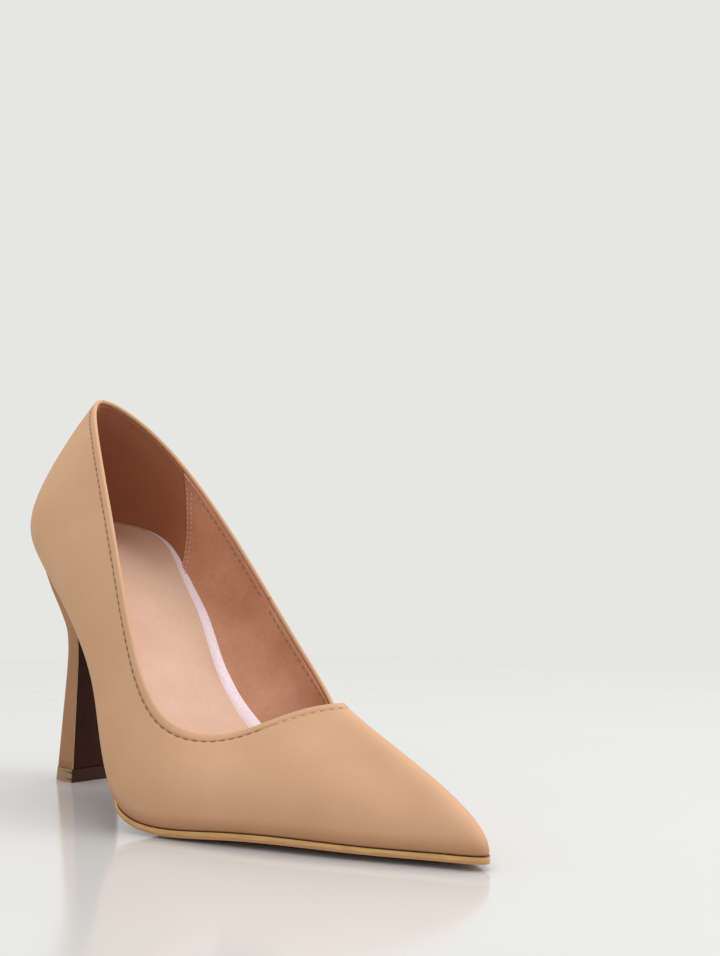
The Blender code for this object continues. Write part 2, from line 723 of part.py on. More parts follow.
def build_bottom():
    outsole(material("outsole", (0.42, 0.22, 0.09), 0.45))
    insole_board(material("fibreboard", (0.40, 0.29, 0.20), 0.85))
    steel = material("spring_steel", (0.45, 0.46, 0.48), 0.35, 1.0)
    shank(steel)
    for number, s in enumerate(RIVETS, 1):
        ends = (bottom_point(s, 0, 0.1), bottom_point(s, 0, BOARD[1] - 0.1))
        rod(f"shank_rivet_{number}", *ends, RIVET_RADIUS, steel)
    bottom_filler(material("cork", (0.45, 0.30, 0.18), 0.9))
    padding = whole_length(SOCK_START, SOCK_INSET, 34)
    plate("sock_foam", padding, SOCK_INSET, FOAM, material("foam", (0.85, 0.72, 0.76), 0.9))
    plate("sock_cover", padding, SOCK_INSET, SOCK, material("sock", (0.70, 0.44, 0.32), 0.5))


def build_heel():
    heel_core(material("heel_plastic", (0.75, 0.72, 0.66), 0.4))
    heel_wrap(material("heel_covering", (0.40, 0.22, 0.13), 0.7))
    breast_cover(material("breast_covering", (0.035, 0.013, 0.008), 0.6))
    heel_tip(material("top_piece", (0.26, 0.17, 0.11), 0.5))
    steel = material("hardened_steel", (0.5, 0.5, 0.52), 0.3, 1.0)
    rod("heel_tip_pin", *[(TUBE_S, 0, z) for z in PIN_SPAN], PIN_RADIUS, steel)
    heel_tube(steel)
    heel_screw(steel)
    for number, (s, x) in enumerate(NAILS, 1):
        ends = (bottom_point(s, x, -NAIL_DEPTH), bottom_point(s, x, BOARD[1] - 0.1))
        rod(f"heel_nail_{number}", *ends, NAIL_RADIUS, steel, 8)


clear_scene()
build_upper()
build_bottom()
build_heel()
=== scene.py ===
"""Looks of the high heel pump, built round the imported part.

The shoe's surfaces are made again from the part's own ribs, finely enough for folds, seams and stitches.
Design lengths are in millimetres. A design point is (s, x, z): s runs back from the tip of the toe,
x is across the shoe with the outer side negative, and z is up.
"""

import math

import bmesh
import bpy
import numpy as np
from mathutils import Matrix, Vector


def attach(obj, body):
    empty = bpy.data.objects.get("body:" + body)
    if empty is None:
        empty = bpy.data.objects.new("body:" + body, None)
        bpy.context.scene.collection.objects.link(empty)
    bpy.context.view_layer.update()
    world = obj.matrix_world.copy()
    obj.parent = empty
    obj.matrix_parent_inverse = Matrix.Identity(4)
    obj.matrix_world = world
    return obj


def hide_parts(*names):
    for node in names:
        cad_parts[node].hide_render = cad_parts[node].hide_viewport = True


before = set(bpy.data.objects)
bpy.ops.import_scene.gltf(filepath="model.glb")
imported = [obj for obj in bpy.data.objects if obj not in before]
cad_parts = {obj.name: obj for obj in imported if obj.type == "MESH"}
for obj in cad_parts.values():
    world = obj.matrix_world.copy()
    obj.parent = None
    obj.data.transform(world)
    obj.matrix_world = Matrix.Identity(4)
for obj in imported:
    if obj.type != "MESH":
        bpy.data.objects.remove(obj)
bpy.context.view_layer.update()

MM = 0.001
ORIGIN_S = 116.6
ORIGIN_X = -4.32
GROUND = 1.0

# The last, as in the part: feather line, topline and the shape of the wall at each rib.
FEATHER_OUTER = (
    (0, 0, 5),
    (10.5, -6.5, 5),
    (35, -18, 5),
    (75, -34, 5),
    (112.5, -45, 6.8),
    (142, -35.6, 34),
    (175, -28, 65.5),
    (207, -22.5, 88),
)
FEATHER_HEEL = (232, 0, 93)
FEATHER_INNER = (
    (203, 22, 88.5),
    (170, 17, 65),
    (140, 21, 34),
    (104, 34, 6.5),
    (70, 33, 4.5),
    (35, 20, 5),
    (10.5, 8, 5),
)
TOPLINE = (
    (61.5, 0, 42.5),
    (66, 6.5, 41.5),
    (76, 16.5, 37),
    (89, 25.5, 32.5),
    (104, 36, 37.5),
    (125.5, 34.5, 62),
    (151, 26, 99),
    (181.5, 13.8, 135),
    (198.5, 0, 149),
)
WALL_OUTER = (
    (12, 2.2, 19, 0.3),
    (10.5, 3.5, 21, 0),
    (10.5, 3.5, 16, 4),
    (12, 4, 12, 4),
    (13, 4.5, 11, 4),
    (16, 6.5, 13, 4),
    (17, 9.5, 14.5, 4),
    (17, 11, 14, 2.5),
    (16, 9, 14, 8.5),
)
WALL_INNER = (
    (15, 8, 14, 4),
    (17, 8.5, 14.5, 4),
    (16, 8, 13, 4),
    (13, 4, 11, 4),
    (12, 4, 12, 4),
    (10.5, 3.5, 16, 4),
    (10.5, 3.5, 21, 0),
)
HEEL_RIB = 8
RIBS = 16
RIB_SPACING = 28.0

# Layers, as in the part.
UPPER_THICK = 1.1
LINING_THICK = 0.7
LINING_FACE = 1.55
STIFFENER_ROOM = 1.19
LASTING_MARGIN = 9.0
TOE_PULL = 0.45
TOE_REACH = 1.5
TOE_HALF_WIDTH = 0.3
CENTRE_CLEAR = 0.4
BOARD_TOP = 3.5
SOCK_TOP = 6.2

# Rib numbers of the seams, at the feather line and at the topline.
BACK_SEAM = (8.0, 8.0)
WAIST_SEAM = (10.35, 10.7)
GRIP_SEAM_OUTER = (6.7, 6.6)
GRIP_SEAM_INNER = (9.95, 9.4)
VAMP_LINING_OUTER = (3.0, 3.0)
VAMP_LINING_INNER = (13.0, 13.0)

# The folded topline, its row of stitches, and the closed seams.
FOLD_RADIUS = 0.75
STITCH_DROP = 3.0
FEATHER_ROUND = 1.0
SEAM_ROUND = 0.5
SEAM_GAP = 0.04
LINING_DROP = 1.9  # from the top of the fold to the lining's edge


def srgb(red, green, blue):
    """Linear colour from 0 to 255 display values."""
    values = np.array((red, green, blue)) / 255
    return tuple(np.where(values <= 0.04045, values / 12.92, ((values + 0.055) / 1.055) ** 2.4))


# ---------------------------------------------------------------- the shape of the last


def unit(vectors):
    return vectors / np.maximum(np.linalg.norm(vectors, axis=-1, keepdims=True), 1e-12)


def plan_normal(tangent):
    """Outward horizontal normal of a line that runs round the shoe from the toe by the outer side."""
    return unit(np.stack([tangent[..., 1], -tangent[..., 0], 0 * tangent[..., 0]], -1))


def rib_rails():
    """Rib parameters from 0 to 1 and, for each rib, the four control points of its Bezier curve."""
    feather = np.array(FEATHER_OUTER + (FEATHER_HEEL,) + FEATHER_INNER, float)
    outer_top = np.array(TOPLINE, float) * (1, -1, 1)
    inner_top = np.array(TOPLINE, float)[HEEL_RIB - 1 : 0 : -1]
    topline = np.vstack([outer_top, inner_top])
    walls = np.array(WALL_OUTER + WALL_INNER, float)
    step = np.sqrt(np.linalg.norm(np.roll(feather, -1, 0) - feather, axis=1))
    step += 0.5 * np.sqrt(np.linalg.norm(np.roll(topline, -1, 0) - topline, axis=1))
    knots = np.concatenate([[0], np.cumsum(step)[:-1]]) / step.sum()
    outward = plan_normal(np.roll(feather, -1, 0) - np.roll(feather, 1, 0))
    up = np.array([0, 0, 1.0])
    chord = unit(topline - feather)
    crown = outward + up
    crown = unit(crown - (crown * chord).sum(1, keepdims=True) * chord)
    low = feather + walls[:, 0:1] * up + walls[:, 1:2] * outward
    high = topline - walls[:, 2:3] * chord + walls[:, 3:4] * crown
    return knots, np.hstack([feather, low, high, topline])


def spline_curvatures(knots, values):
    """Second derivatives of the periodic cubic spline through the values at the knots."""
    count = len(knots)
    gaps = np.diff(np.append(knots, 1.0))
    matrix = np.zeros((count, count))
    right = np.zeros((count, values.shape[1]))
    for i in range(count):
        before, after = gaps[i - 1], gaps[i]
        following = (i + 1) % count
        matrix[i, i - 1] += before
        matrix[i, i] += 2 * (before + after)
        matrix[i, following] += after
        right[i] = 6 * ((values[following] - values[i]) / after - (values[i] - values[i - 1]) / before)
    return np.linalg.solve(matrix, right)


KNOTS, RAILS = rib_rails()
CURVATURES = spline_curvatures(KNOTS, RAILS)


def rails_at(u):
    """The four rails of the wall at parameter u, from a smooth spline through the ribs."""
    u = np.mod(np.asarray(u, float), 1.0)
    i = np.clip(np.searchsorted(KNOTS, u, side="right") - 1, 0, RIBS - 1)
    j = (i + 1) % RIBS
    gap = np.diff(np.append(KNOTS, 1.0))[i][:, None]
    a = (u[:, None] - KNOTS[i][:, None]) / gap
    b = 1 - a
    bend = (b**3 - b) * CURVATURES[i] + (a**3 - a) * CURVATURES[j]
    return b * RAILS[i] + a * RAILS[j] + gap**2 / 6 * bend


def rib_parameter(rib):
    turns = np.floor(np.asarray(rib, float) / RIBS)
    return np.interp(np.mod(rib, RIBS), np.arange(RIBS + 1), np.append(KNOTS, 1.0)) + turns


def wall_point(u, v):
    """A point of the outer face: v is 0 at the feather line and 1 at the topline."""
    rails = rails_at(u)
    v = v[:, None]
    weights = ((1 - v) ** 3, 3 * v * (1 - v) ** 2, 3 * v**2 * (1 - v), v**3)
    return sum(w * rails[:, 3 * k : 3 * k + 3] for k, w in enumerate(weights))


def ramp(value, start, end):
    """Rises smoothly from 0 at start to 1 at end."""
    t = np.clip((value - start) / (end - start), 0, 1)
    return t * t * (3 - 2 * t)


def wall(rib, v, inset=0.0):
    """A point under the outer face at a rib number, inset along the face's normal."""
    rib, v = np.broadcast_arrays(np.asarray(rib, float), np.asarray(v, float))
    shape = rib.shape
    u, v = rib_parameter(rib).ravel(), v.ravel()
    nudge = 1e-4
    along = wall_point(u + nudge, v) - wall_point(u - nudge, v)
    upward = wall_point(u, np.minimum(v + nudge, 1)) - wall_point(u, np.maximum(v - nudge, 0))
    normal = unit(np.cross(along, upward))
    normal[:, 2] *= ramp(v, 0.05, 0.35)
    depth = np.broadcast_to(inset, shape).ravel()
    point = wall_point(u, v) - unit(normal) * depth[:, None]
    turn = np.mod(u, 1.0)
    side = np.where(turn < 0.5, -1, 1)
    from_toe = np.minimum(turn, 1 - turn) / KNOTS[1]
    tip = (1 - ramp(from_toe, 0, TOE_REACH)) * (1 - ramp(v, 0.15, 0.5))
    point[:, 0] += TOE_PULL * depth * tip
    layered = (depth > 0) & (from_toe < TOE_REACH)
    narrowest = np.maximum(side * point[:, 1], TOE_HALF_WIDTH * from_toe)
    point[layered, 1] = (side * narrowest)[layered]
    return point.reshape(shape + (3,))


def wall_normal(rib, v):
    """Outward normal of the wall."""
    return unit(wall(rib, v, 0.0) - wall(rib, v, 1.0))


def feather_line(rib, inset):
    """The feather line moved inwards in plan."""
    u = rib_parameter(rib)
    nudge = 1e-4
    tangent = rails_at(u + nudge)[:, :3] - rails_at(u - nudge)[:, :3]
    depth = np.broadcast_to(inset, u.shape)[:, None]
    return rails_at(u)[:, :3] - plan_normal(tangent) * depth


def side_line(side, inset):
    """The outer (side -1) or inner (side 1) half of the inset feather line, toe to heel."""
    line = feather_line(np.linspace(0 if side < 0 else RIBS, HEEL_RIB, 321), inset)
    return line[side * line[:, 1] > CENTRE_CLEAR] if inset > 0 else line


OUTER_EDGE, INNER_EDGE = side_line(-1, 0), side_line(1, 0)


def bottom_height(s, x):
    """Height of the bottom of the foot, which runs straight across between the feather lines."""
    outer_x, outer_z = (np.interp(s, OUTER_EDGE[:, 0], OUTER_EDGE[:, k]) for k in (1, 2))
    inner_x, inner_z = (np.interp(s, INNER_EDGE[:, 0], INNER_EDGE[:, k]) for k in (1, 2))
    share = np.clip((x - outer_x) / np.maximum(inner_x - outer_x, 0.01), 0, 1)
    return outer_z + share * (inner_z - outer_z)


def bottom_normal(s):
    s = np.asarray(s, float)
    reach = 4.0
    slope = (bottom_height(s + reach, 0) - bottom_height(s - reach, 0)) / (2 * reach)
    return unit(np.stack([-slope, 0 * slope, 1 + 0 * slope], -1))


def on_bottom(line, height=0.0):
    """Points moved to a height above the bottom of the foot."""
    s, x = line[..., 0], line[..., 1]
    base = np.stack([s, x, bottom_height(s, x)], -1)
    return base + np.asarray(height)[..., None] * bottom_normal(s)


def to_world(points):
    """World metres from design millimetres."""
    points = np.asarray(points, float)
    x, y, z = points[..., 1] - ORIGIN_X, points[..., 0] - ORIGIN_S, points[..., 2] - GROUND
    return np.stack([x, y, z], -1) * MM


# ---------------------------------------------------------------- materials


class Look:
    """A procedural material: a Principled shader and short calls that add nodes to it."""

    def __init__(self, name):
        self.material = bpy.data.materials.new(name)
        self.material.use_nodes = True
        self.tree = self.material.node_tree
        self.shader = self.tree.nodes["Principled BSDF"]
        self.place = self.tree.nodes.new("ShaderNodeTexCoord").outputs["Object"]

    def set(self, **values):
        for key, value in values.items():
            self.shader.inputs[key.replace("_", " ")].default_value = value
        return self

    def link(self, output, target):
        self.tree.links.new(output, target)

    def noise(self, per_mm, detail=2.0, stretch=None):
        """Noise from 0 to 1 with features of about 1 / per_mm millimetres."""
        node = self.tree.nodes.new("ShaderNodeTexNoise")
        node.inputs["Scale"].default_value = per_mm / MM
        node.inputs["Detail"].default_value = detail
        self.link(self.stretched(stretch), node.inputs["Vector"])
        return node.outputs["Fac"]

    def cells(self, per_mm, feature="F1", stretch=None):
        node = self.tree.nodes.new("ShaderNodeTexVoronoi")
        node.feature = feature
        node.inputs["Scale"].default_value = per_mm / MM
        self.link(self.stretched(stretch), node.inputs["Vector"])
        return node.outputs["Distance"]

    def stretched(self, stretch):
        if stretch is None:
            return self.place
        node = self.tree.nodes.new("ShaderNodeMapping")
        node.inputs["Scale"].default_value = stretch
        self.link(self.place, node.inputs["Vector"])
        return node.outputs["Vector"]

    def attribute(self, name):
        node = self.tree.nodes.new("ShaderNodeAttribute")
        node.attribute_name = name
        return node.outputs["Fac"]

    def remap(self, value, low, high, to_low=0.0, to_high=1.0):
        node = self.tree.nodes.new("ShaderNodeMapRange")
        self.link(value, node.inputs["Value"])
        for key, number in (("From Min", low), ("From Max", high), ("To Min", to_low), ("To Max", to_high)):
            node.inputs[key].default_value = number
        return node.outputs["Result"]

    def combine(self, first, second, operation="ADD"):
        node = self.tree.nodes.new("ShaderNodeMath")
        node.operation = operation
        for value, socket in zip((first, second), node.inputs):
            if isinstance(value, (int, float)):
                socket.default_value = value
            else:
                self.link(value, socket)
        return node.outputs["Value"]

    def mix(self, share, first, second):
        """A colour between two, each a colour or another node's output."""
        node = self.tree.nodes.new("ShaderNodeMix")
        node.data_type = "RGBA"
        self.link(share, node.inputs["Factor"])
        for value, socket in ((first, node.inputs[6]), (second, node.inputs[7])):
            if isinstance(value, tuple):
                socket.default_value = (*value, 1)
            else:
                self.link(value, socket)
        return node.outputs[2]

    def colour(self, output):
        self.link(output, self.shader.inputs["Base Color"])
        return self

    def roughness(self, output):
        self.link(output, self.shader.inputs["Roughness"])
        return self

    def bump(self, height, depth_mm, strength=1.0):
        node = self.tree.nodes.new("ShaderNodeBump")
        node.inputs["Strength"].default_value = strength
        node.inputs["Distance"].default_value = depth_mm * MM
        self.link(height, node.inputs["Height"])
        self.link(node.outputs["Normal"], self.shader.inputs["Normal"])
        return self


def nubuck(name, base, dark, light, painted_shade, sheen):
    """Matt leather with a buffed nap: soft mottling, a fine nap, and painted shade, a darker colour mixed in
    where the mesh marks edges, grooves and seams.
    """
    look = Look(name)
    cloud = look.combine(look.noise(0.022), look.combine(look.noise(0.11, 3.0), 0.35, "MULTIPLY"))
    tone = look.mix(look.remap(cloud, 0.45, 0.9), dark, light)
    tone = look.mix(look.remap(look.noise(2.2, 3.0), 0.35, 0.65, 0.35, 0.75), tone, base)
    speck = look.remap(look.noise(5.0, 1.0), 0.62, 0.78, 0.0, 0.3)
    tone = look.mix(speck, tone, dark)
    look.colour(look.mix(look.attribute("painted_shade"), tone, painted_shade))
    look.roughness(look.remap(look.noise(0.4, 3.0), 0.3, 0.7, 0.78, 0.92))
    nap = look.combine(look.noise(4.5, 3.0), look.combine(look.noise(0.7), 0.8, "MULTIPLY"))
    look.bump(nap, 0.09, 0.55)
    look.set(Sheen_Weight=sheen, Sheen_Roughness=0.45, Sheen_Tint=(*light, 1), Specular_IOR_Level=0.3)
    return look.material


def smooth_leather(name, base, dark, roughness, grain_mm, grain_depth):
    """Finished leather with a small cell grain."""
    look = Look(name)
    cloud = look.combine(look.noise(0.06, 3.0), look.combine(look.noise(0.5), 0.4, "MULTIPLY"))
    look.colour(look.mix(look.remap(cloud, 0.5, 0.9), dark, base))
    look.roughness(look.remap(look.noise(0.8, 3.0), 0.3, 0.7, roughness - 0.06, roughness + 0.06))
    grain = look.combine(look.cells(1 / grain_mm), look.combine(look.noise(1.5, 3.0), 0.5, "MULTIPLY"))
    look.bump(grain, grain_depth, 0.6)
    look.set(Specular_IOR_Level=0.25)
    return look.material


def plain_grain(name, base, dark, roughness, per_mm, depth, stretch=None, **shader):
    """Two close tones and a fine bump, for boards, plastics, foam and metal."""
    look = Look(name)
    field = look.noise(per_mm, 4.0, stretch)
    look.colour(look.mix(look.remap(field, 0.35, 0.65), dark, base))
    wear = look.noise(per_mm / 3, 2.0, stretch)
    look.roughness(look.remap(wear, 0.3, 0.7, roughness - 0.05, roughness + 0.05))
    look.bump(field, depth, 0.6)
    look.set(**shader)
    return look.material


# The fourth colour of each nubuck is painted shade, the darker tone for edges, grooves and seams.
NUBUCK = nubuck(
    "tan_nubuck",
    srgb(209, 165, 130),
    srgb(200, 154, 118),
    srgb(216, 174, 141),
    srgb(176, 124, 88),
    0.2,
)
# The upper's nubuck in darker tones: painted shade of the heel under the shoe.
COVERING = nubuck(
    "heel_covering",
    srgb(174, 129, 96),
    srgb(164, 118, 86),
    srgb(184, 140, 107),
    srgb(140, 94, 66),
    0.15,
)
CUT_EDGE = plain_grain("covering_cut_edge", srgb(205, 180, 140), srgb(170, 140, 100), 0.7, 3.0, 0.05)
LINING = smooth_leather("side_lining", srgb(205, 151, 122), srgb(190, 133, 105), 0.5, 0.45, 0.05)
GRIP = nubuck(
    "heel_grip_suede",
    srgb(170, 112, 82),
    srgb(152, 95, 68),
    srgb(182, 124, 94),
    srgb(120, 74, 50),
    0.4,
)
SOCK = smooth_leather("sock_leather", srgb(223, 188, 163), srgb(216, 178, 153), 0.46, 0.5, 0.035)
FOAM = plain_grain("foam_edge", srgb(250, 234, 240), srgb(240, 216, 226), 0.85, 1.6, 0.12)
# Lit and shaded copies of one beige thread: the pale copy is painted light, the brown copy painted shade.
THREAD_SHADED_COPY = plain_grain("thread_painted_shade", srgb(150, 120, 96), srgb(118, 88, 68), 0.7, 6.0, 0.08)
THREAD_LIT_COPY = plain_grain("thread_painted_light", srgb(232, 206, 186), srgb(204, 170, 146), 0.7, 6.0, 0.08)
# The needle holes' dark colour is painted shade.
HOLE = plain_grain("needle_hole_painted_shade", srgb(92, 62, 42), srgb(66, 42, 28), 0.95, 4.0, 0.05)
# The breast's colour is partly its own dark brown and partly painted shade, as it faces away under the seat.
BREAST = smooth_leather("breast_leather", srgb(60, 23, 8), srgb(46, 17, 6), 0.75, 0.4, 0.04)
STEEL = plain_grain(
    "steel", (0.52, 0.52, 0.54), (0.4, 0.4, 0.42), 0.35, 2.0, 0.02, (1, 0.05, 1), Metallic=1.0
)
FIBREBOARD = plain_grain("fibreboard", srgb(150, 118, 88), srgb(120, 92, 66), 0.9, 1.2, 0.15)
CORK = plain_grain("cork", srgb(176, 134, 92), srgb(122, 84, 54), 0.9, 0.7, 0.3)
STIFFENER = plain_grain("stiffener_sheet", srgb(205, 194, 172), srgb(190, 178, 154), 0.75, 1.5, 0.08)
HEEL_PLASTIC = plain_grain("heel_plastic", srgb(222, 216, 204), srgb(212, 205, 192), 0.4, 0.8, 0.03)


def sole_look():
    """Sole sheet: pinkish brown and faintly pebbled."""
    look = Look("sole_sheet")
    cloud = look.combine(look.noise(0.08, 3.0), look.combine(look.noise(1.4, 2.0), 0.3, "MULTIPLY"))
    look.colour(look.mix(look.remap(cloud, 0.45, 0.85), srgb(150, 106, 80), srgb(170, 126, 98)))
    look.roughness(look.remap(look.noise(0.5, 3.0), 0.3, 0.7, 0.42, 0.6))
    look.bump(look.cells(1.4), 0.07, 0.6)
    return look.material


def sole_edge_look():
    """The sole's edge: golden at the top, browner below, with faint streaks along its length."""
    look = Look("sole_edge_paint")
    streak = look.noise(0.9, 3.0, (0.15, 0.15, 3.0))
    golden = look.mix(look.remap(streak, 0.35, 0.65), srgb(204, 154, 86), srgb(222, 180, 114))
    share = look.combine(look.attribute("height"), look.remap(look.noise(0.2), 0.3, 0.7, -0.12, 0.12))
    look.colour(look.mix(look.remap(share, 0.3, 0.55), srgb(192, 140, 98), golden))
    look.roughness(look.remap(streak, 0.3, 0.7, 0.32, 0.45))
    look.bump(streak, 0.05, 0.5)
    return look.material


def tip_look():
    """Hard polyurethane top piece, with painted shade and a painted reflection of the shoe's dark underside
    on its front face.
    """
    look = Look("top_piece")
    tone = look.mix(look.remap(look.noise(0.8, 4.0), 0.35, 0.65), srgb(156, 124, 94), srgb(174, 140, 110))
    look.colour(look.mix(look.attribute("front"), tone, srgb(60, 26, 10)))
    look.roughness(look.remap(look.noise(1.5), 0.3, 0.7, 0.5, 0.62))
    look.bump(look.noise(3.0, 3.0), 0.04, 0.5)
    look.set(Specular_IOR_Level=0.3)
    return look.material


SOLE = sole_look()
SOLE_EDGE = sole_edge_look()
TIP = tip_look()


# ---------------------------------------------------------------- meshes


def add_piece(name, mesh, looks, nodes=(), sharp=40):
    mesh.shade_smooth()
    mesh.set_sharp_from_angle(angle=math.radians(sharp))
    for look in looks:
        mesh.materials.append(look)
    piece = bpy.data.objects.new(name, mesh)
    bpy.context.scene.collection.objects.link(piece)
    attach(piece, "root")
    if nodes:
        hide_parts(*nodes)
    return piece


def shell(name, front, back, values=None, rim=0):
    """A closed mesh between two grids of design points, with the rim's faces in material number rim.

    values maps the name of a point attribute to its grid, one number for each pair of points.
    """
    rows, columns = front.shape[:2]
    build = bmesh.new()
    layers = {key: build.verts.layers.float.new(key) for key in (values or {})}
    grids = []
    for points in (front, back):
        grid = [[build.verts.new(p) for p in row] for row in to_world(points)]
        for key, layer in layers.items():
            for row, numbers in zip(grid, values[key][0 if points is front else 1]):
                for vertex, number in zip(row, numbers):
                    vertex[layer] = number
        grids.append(grid)
    for grid in grids:
        for i in range(rows - 1):
            for j in range(columns - 1):
                build.faces.new((grid[i][j], grid[i][j + 1], grid[i + 1][j + 1], grid[i + 1][j]))
    border = [(0, j) for j in range(columns)]
    border += [(i, columns - 1) for i in range(1, rows)]
    border += [(rows - 1, j) for j in range(columns - 2, -1, -1)]
    border += [(i, 0) for i in range(rows - 2, 0, -1)]
    for (i, j), (k, m) in zip(border, border[1:] + border[:1]):
        face = build.faces.new((grids[0][i][j], grids[0][k][m], grids[1][k][m], grids[1][i][j]))
        face.material_index = rim
    bmesh.ops.remove_doubles(build, verts=build.verts, dist=2e-7)
    bmesh.ops.dissolve_degenerate(build, edges=build.edges, dist=2e-7)
    bmesh.ops.recalc_face_normals(build, faces=build.faces)
    if build.calc_volume(signed=True) < 0:
        bmesh.ops.reverse_faces(build, faces=build.faces)
    mesh = bpy.data.meshes.new(name)
    build.to_mesh(mesh)
    build.free()
    return mesh


def bevel(piece, width, segments=3, angle=40):
    modifier = piece.modifiers.new("soft_edges", "BEVEL")
    modifier.width = width * MM
    modifier.segments = segments
    modifier.limit_method = "ANGLE"
    modifier.angle_limit = math.radians(angle)


# ---------------------------------------------------------------- the wall

ARC_SAMPLES = np.linspace(0, 1, 161)[:, None]
LOW_ARCS = (0.0, 0.12, 0.3, 0.6, 1.0, 1.6)
TOP_DROPS = (
    (6.4, 5.6, 4.8, 4.2, 3.8, 3.5, 3.3, 3.15, 3.0, 2.85, 2.7, 2.5, 2.2, 1.9, 1.6, 1.3, 1.0)
    + (0.75, 0.55, 0.38, 0.24, 0.13, 0.05, 0.0)
)
MIDDLE_ROWS = 26
COLUMN_STEP = 2.1
END_COLUMNS = (0, 0.08, 0.2, 0.35, 0.55, 0.9, 1.4)


def before_toe(seam):
    """The same seam counted from the toe in the other direction."""
    return (seam[0] - RIBS, seam[1] - RIBS)


def piece_columns(start, end):
    """Rib numbers of a piece's columns at the feather line and topline, and mm from the nearer end."""
    span = RIB_SPACING * (0.5 * (end[0] + end[1] - start[0] - start[1]))
    near = np.array(END_COLUMNS) + SEAM_GAP
    middle = np.linspace(near[-1], span - near[-1], int(span / COLUMN_STEP))
    run = np.concatenate([near[:-1], middle, span - near[-2::-1]])
    share = run / span
    low, high = (start[k] + (end[k] - start[k]) * share for k in (0, 1))
    return low, high, np.minimum(run, span - run) - SEAM_GAP


class WallGrid:
    """The columns and rows of a wall piece, with each point's distances from the feather line and topline."""

    def __init__(self, start, end, first_arc=0.0, last_drop=0.0):
        low, high, self.from_end = piece_columns(start, end)
        rib = low + (high - low) * ARC_SAMPLES
        line = wall(rib, np.broadcast_to(ARC_SAMPLES, rib.shape))
        steps = np.linalg.norm(np.diff(line, axis=0), axis=-1)
        reached = np.vstack([0 * steps[:1], np.cumsum(steps, axis=0)])
        length = reached[-1]
        bottom = [a * np.ones_like(length) for a in LOW_ARCS if a >= first_arc]
        share = np.linspace(0, 1, MIDDLE_ROWS + 2)[1:-1]
        begin = max(LOW_ARCS[-1], first_arc)
        middle = [begin + f * (length - TOP_DROPS[0] - begin) for f in share]
        top = [length - d for d in TOP_DROPS if d >= last_drop]
        arcs = np.array(([first_arc + 0 * length] if first_arc else []) + bottom + middle + top)
        columns = range(arcs.shape[1])
        self.v = np.stack([np.interp(arcs[:, k], reached[:, k], ARC_SAMPLES[:, 0]) for k in columns], 1)
        self.rib = low + (high - low) * self.v
        self.up = arcs
        self.down = length - arcs
        self.low = low


def quarter_round(distance, radius):
    """How far a rounded edge falls away at a distance from it."""
    t = np.clip(radius - distance, 0, radius)
    return radius - np.sqrt(radius**2 - t**2)


def lasting_margin(half_width):
    return np.minimum(0.3 * half_width + 1.5, LASTING_MARGIN)


def stitch_groove(down):
    """The folded edge stands a little proud, and the stitches pull a groove below it."""
    groove = -0.24 * np.exp(-(((down - STITCH_DROP) / 0.42) ** 2))
    bead = 0.10 * np.exp(-(((down - 1.6) / 0.9) ** 2))
    return groove + bead


def upper_piece(name, start, end, nodes):
    """A piece of the upper: turned in at the bottom, rounded at its seams, folded and stitched at the top."""
    grid = WallGrid(start, end)
    seam = quarter_round(grid.from_end, SEAM_ROUND)[None]
    fold = quarter_round(grid.down, FOLD_RADIUS)
    edge = quarter_round(grid.up, FEATHER_ROUND)
    relief = stitch_groove(grid.down) * ramp(grid.from_end, 0, 0.6)
    outer = wall(grid.rib, grid.v, fold + edge + np.maximum(seam - edge, 0) - relief)
    thick = UPPER_THICK + (2 * FOLD_RADIUS - UPPER_THICK) * (1 - ramp(grid.down, 0.8, 2.0))
    inner = wall(grid.rib, grid.v, np.maximum(thick - fold, fold))
    feather = feather_line(grid.low, 0)
    margin = lasting_margin(np.abs(feather[:, 1]))
    height = np.full(len(margin), UPPER_THICK)
    outer_rows, inner_rows = [], []
    for share in (1.0, 0.75, 0.5, 0.3):
        turned = feather_line(grid.low, np.maximum(margin * share, FEATHER_ROUND))
        outer_rows.append(on_bottom(turned))
        inner_rows.append(on_bottom(turned, height))
    inner[grid.up < UPPER_THICK] = on_bottom(inner[grid.up < UPPER_THICK], UPPER_THICK)
    outer = np.concatenate([np.array(outer_rows), outer])
    inner = np.concatenate([np.array(inner_rows), inner])
    # Painted shade: darker towards the feather line where the upper meets the sole, in the stitch groove, at
    # the seams and on the turned-in margin.
    painted_shade = 0.75 * (1 - ramp(grid.up, 0.3, 6.0)) + 0.5 * np.exp(-(((grid.down - STITCH_DROP) / 0.4) ** 2))
    painted_shade += 0.35 * np.exp(-((grid.from_end / 0.4) ** 2))[None]
    painted_shade = np.concatenate([np.full((4, painted_shade.shape[1]), 0.9), painted_shade]).clip(0, 1)
    mesh = shell(name, outer, inner, {"painted_shade": (painted_shade, painted_shade)})
    return add_piece(name, mesh, [NUBUCK], nodes, 55)


def stiffener_room(rib, v):
    """How far the lining stands in from the upper, over the toe puff and the counter."""
    rib = np.mod(rib, RIBS)
    from_toe = np.minimum(rib, RIBS - rib)
    counter = ramp(from_toe, 5.6, 6.1) * (1 - ramp(v, 0.7, 0.95))
    puff = (1 - ramp(from_toe, 2.1, 2.7)) * (1 - ramp(v, 0.5, 0.8))
    return STIFFENER_ROOM * np.maximum(counter, puff)


# Radius of the lining's curve on to the board, by ribs from the toe.
COVE = (
    ((0, 1.0), (1, 2.0), (2, 6.0), (3, 10.0), (4, 16.0), (4.5, 22.0))
    + ((5.2, 21.0), (5.45, 16.0), (5.7, 11.0), (5.95, 5.0), (8, 5.0))
)


SINK = 1.5  # how far the lining lies lower where the sock hides it
SINK_LEVELS = (4.9, 6.3)  # heights above the bottom over which the sinking ends
LAP_PROUD = 0.33  # how far a side lining stands out where it laps over its neighbour


def lining_depth(rib, v):
    """Inset of the lining's outer face, closer to the upper at the top."""
    return LINING_FACE + stiffener_room(rib, v) - 0.2 * ramp(v, 0.9, 0.97)


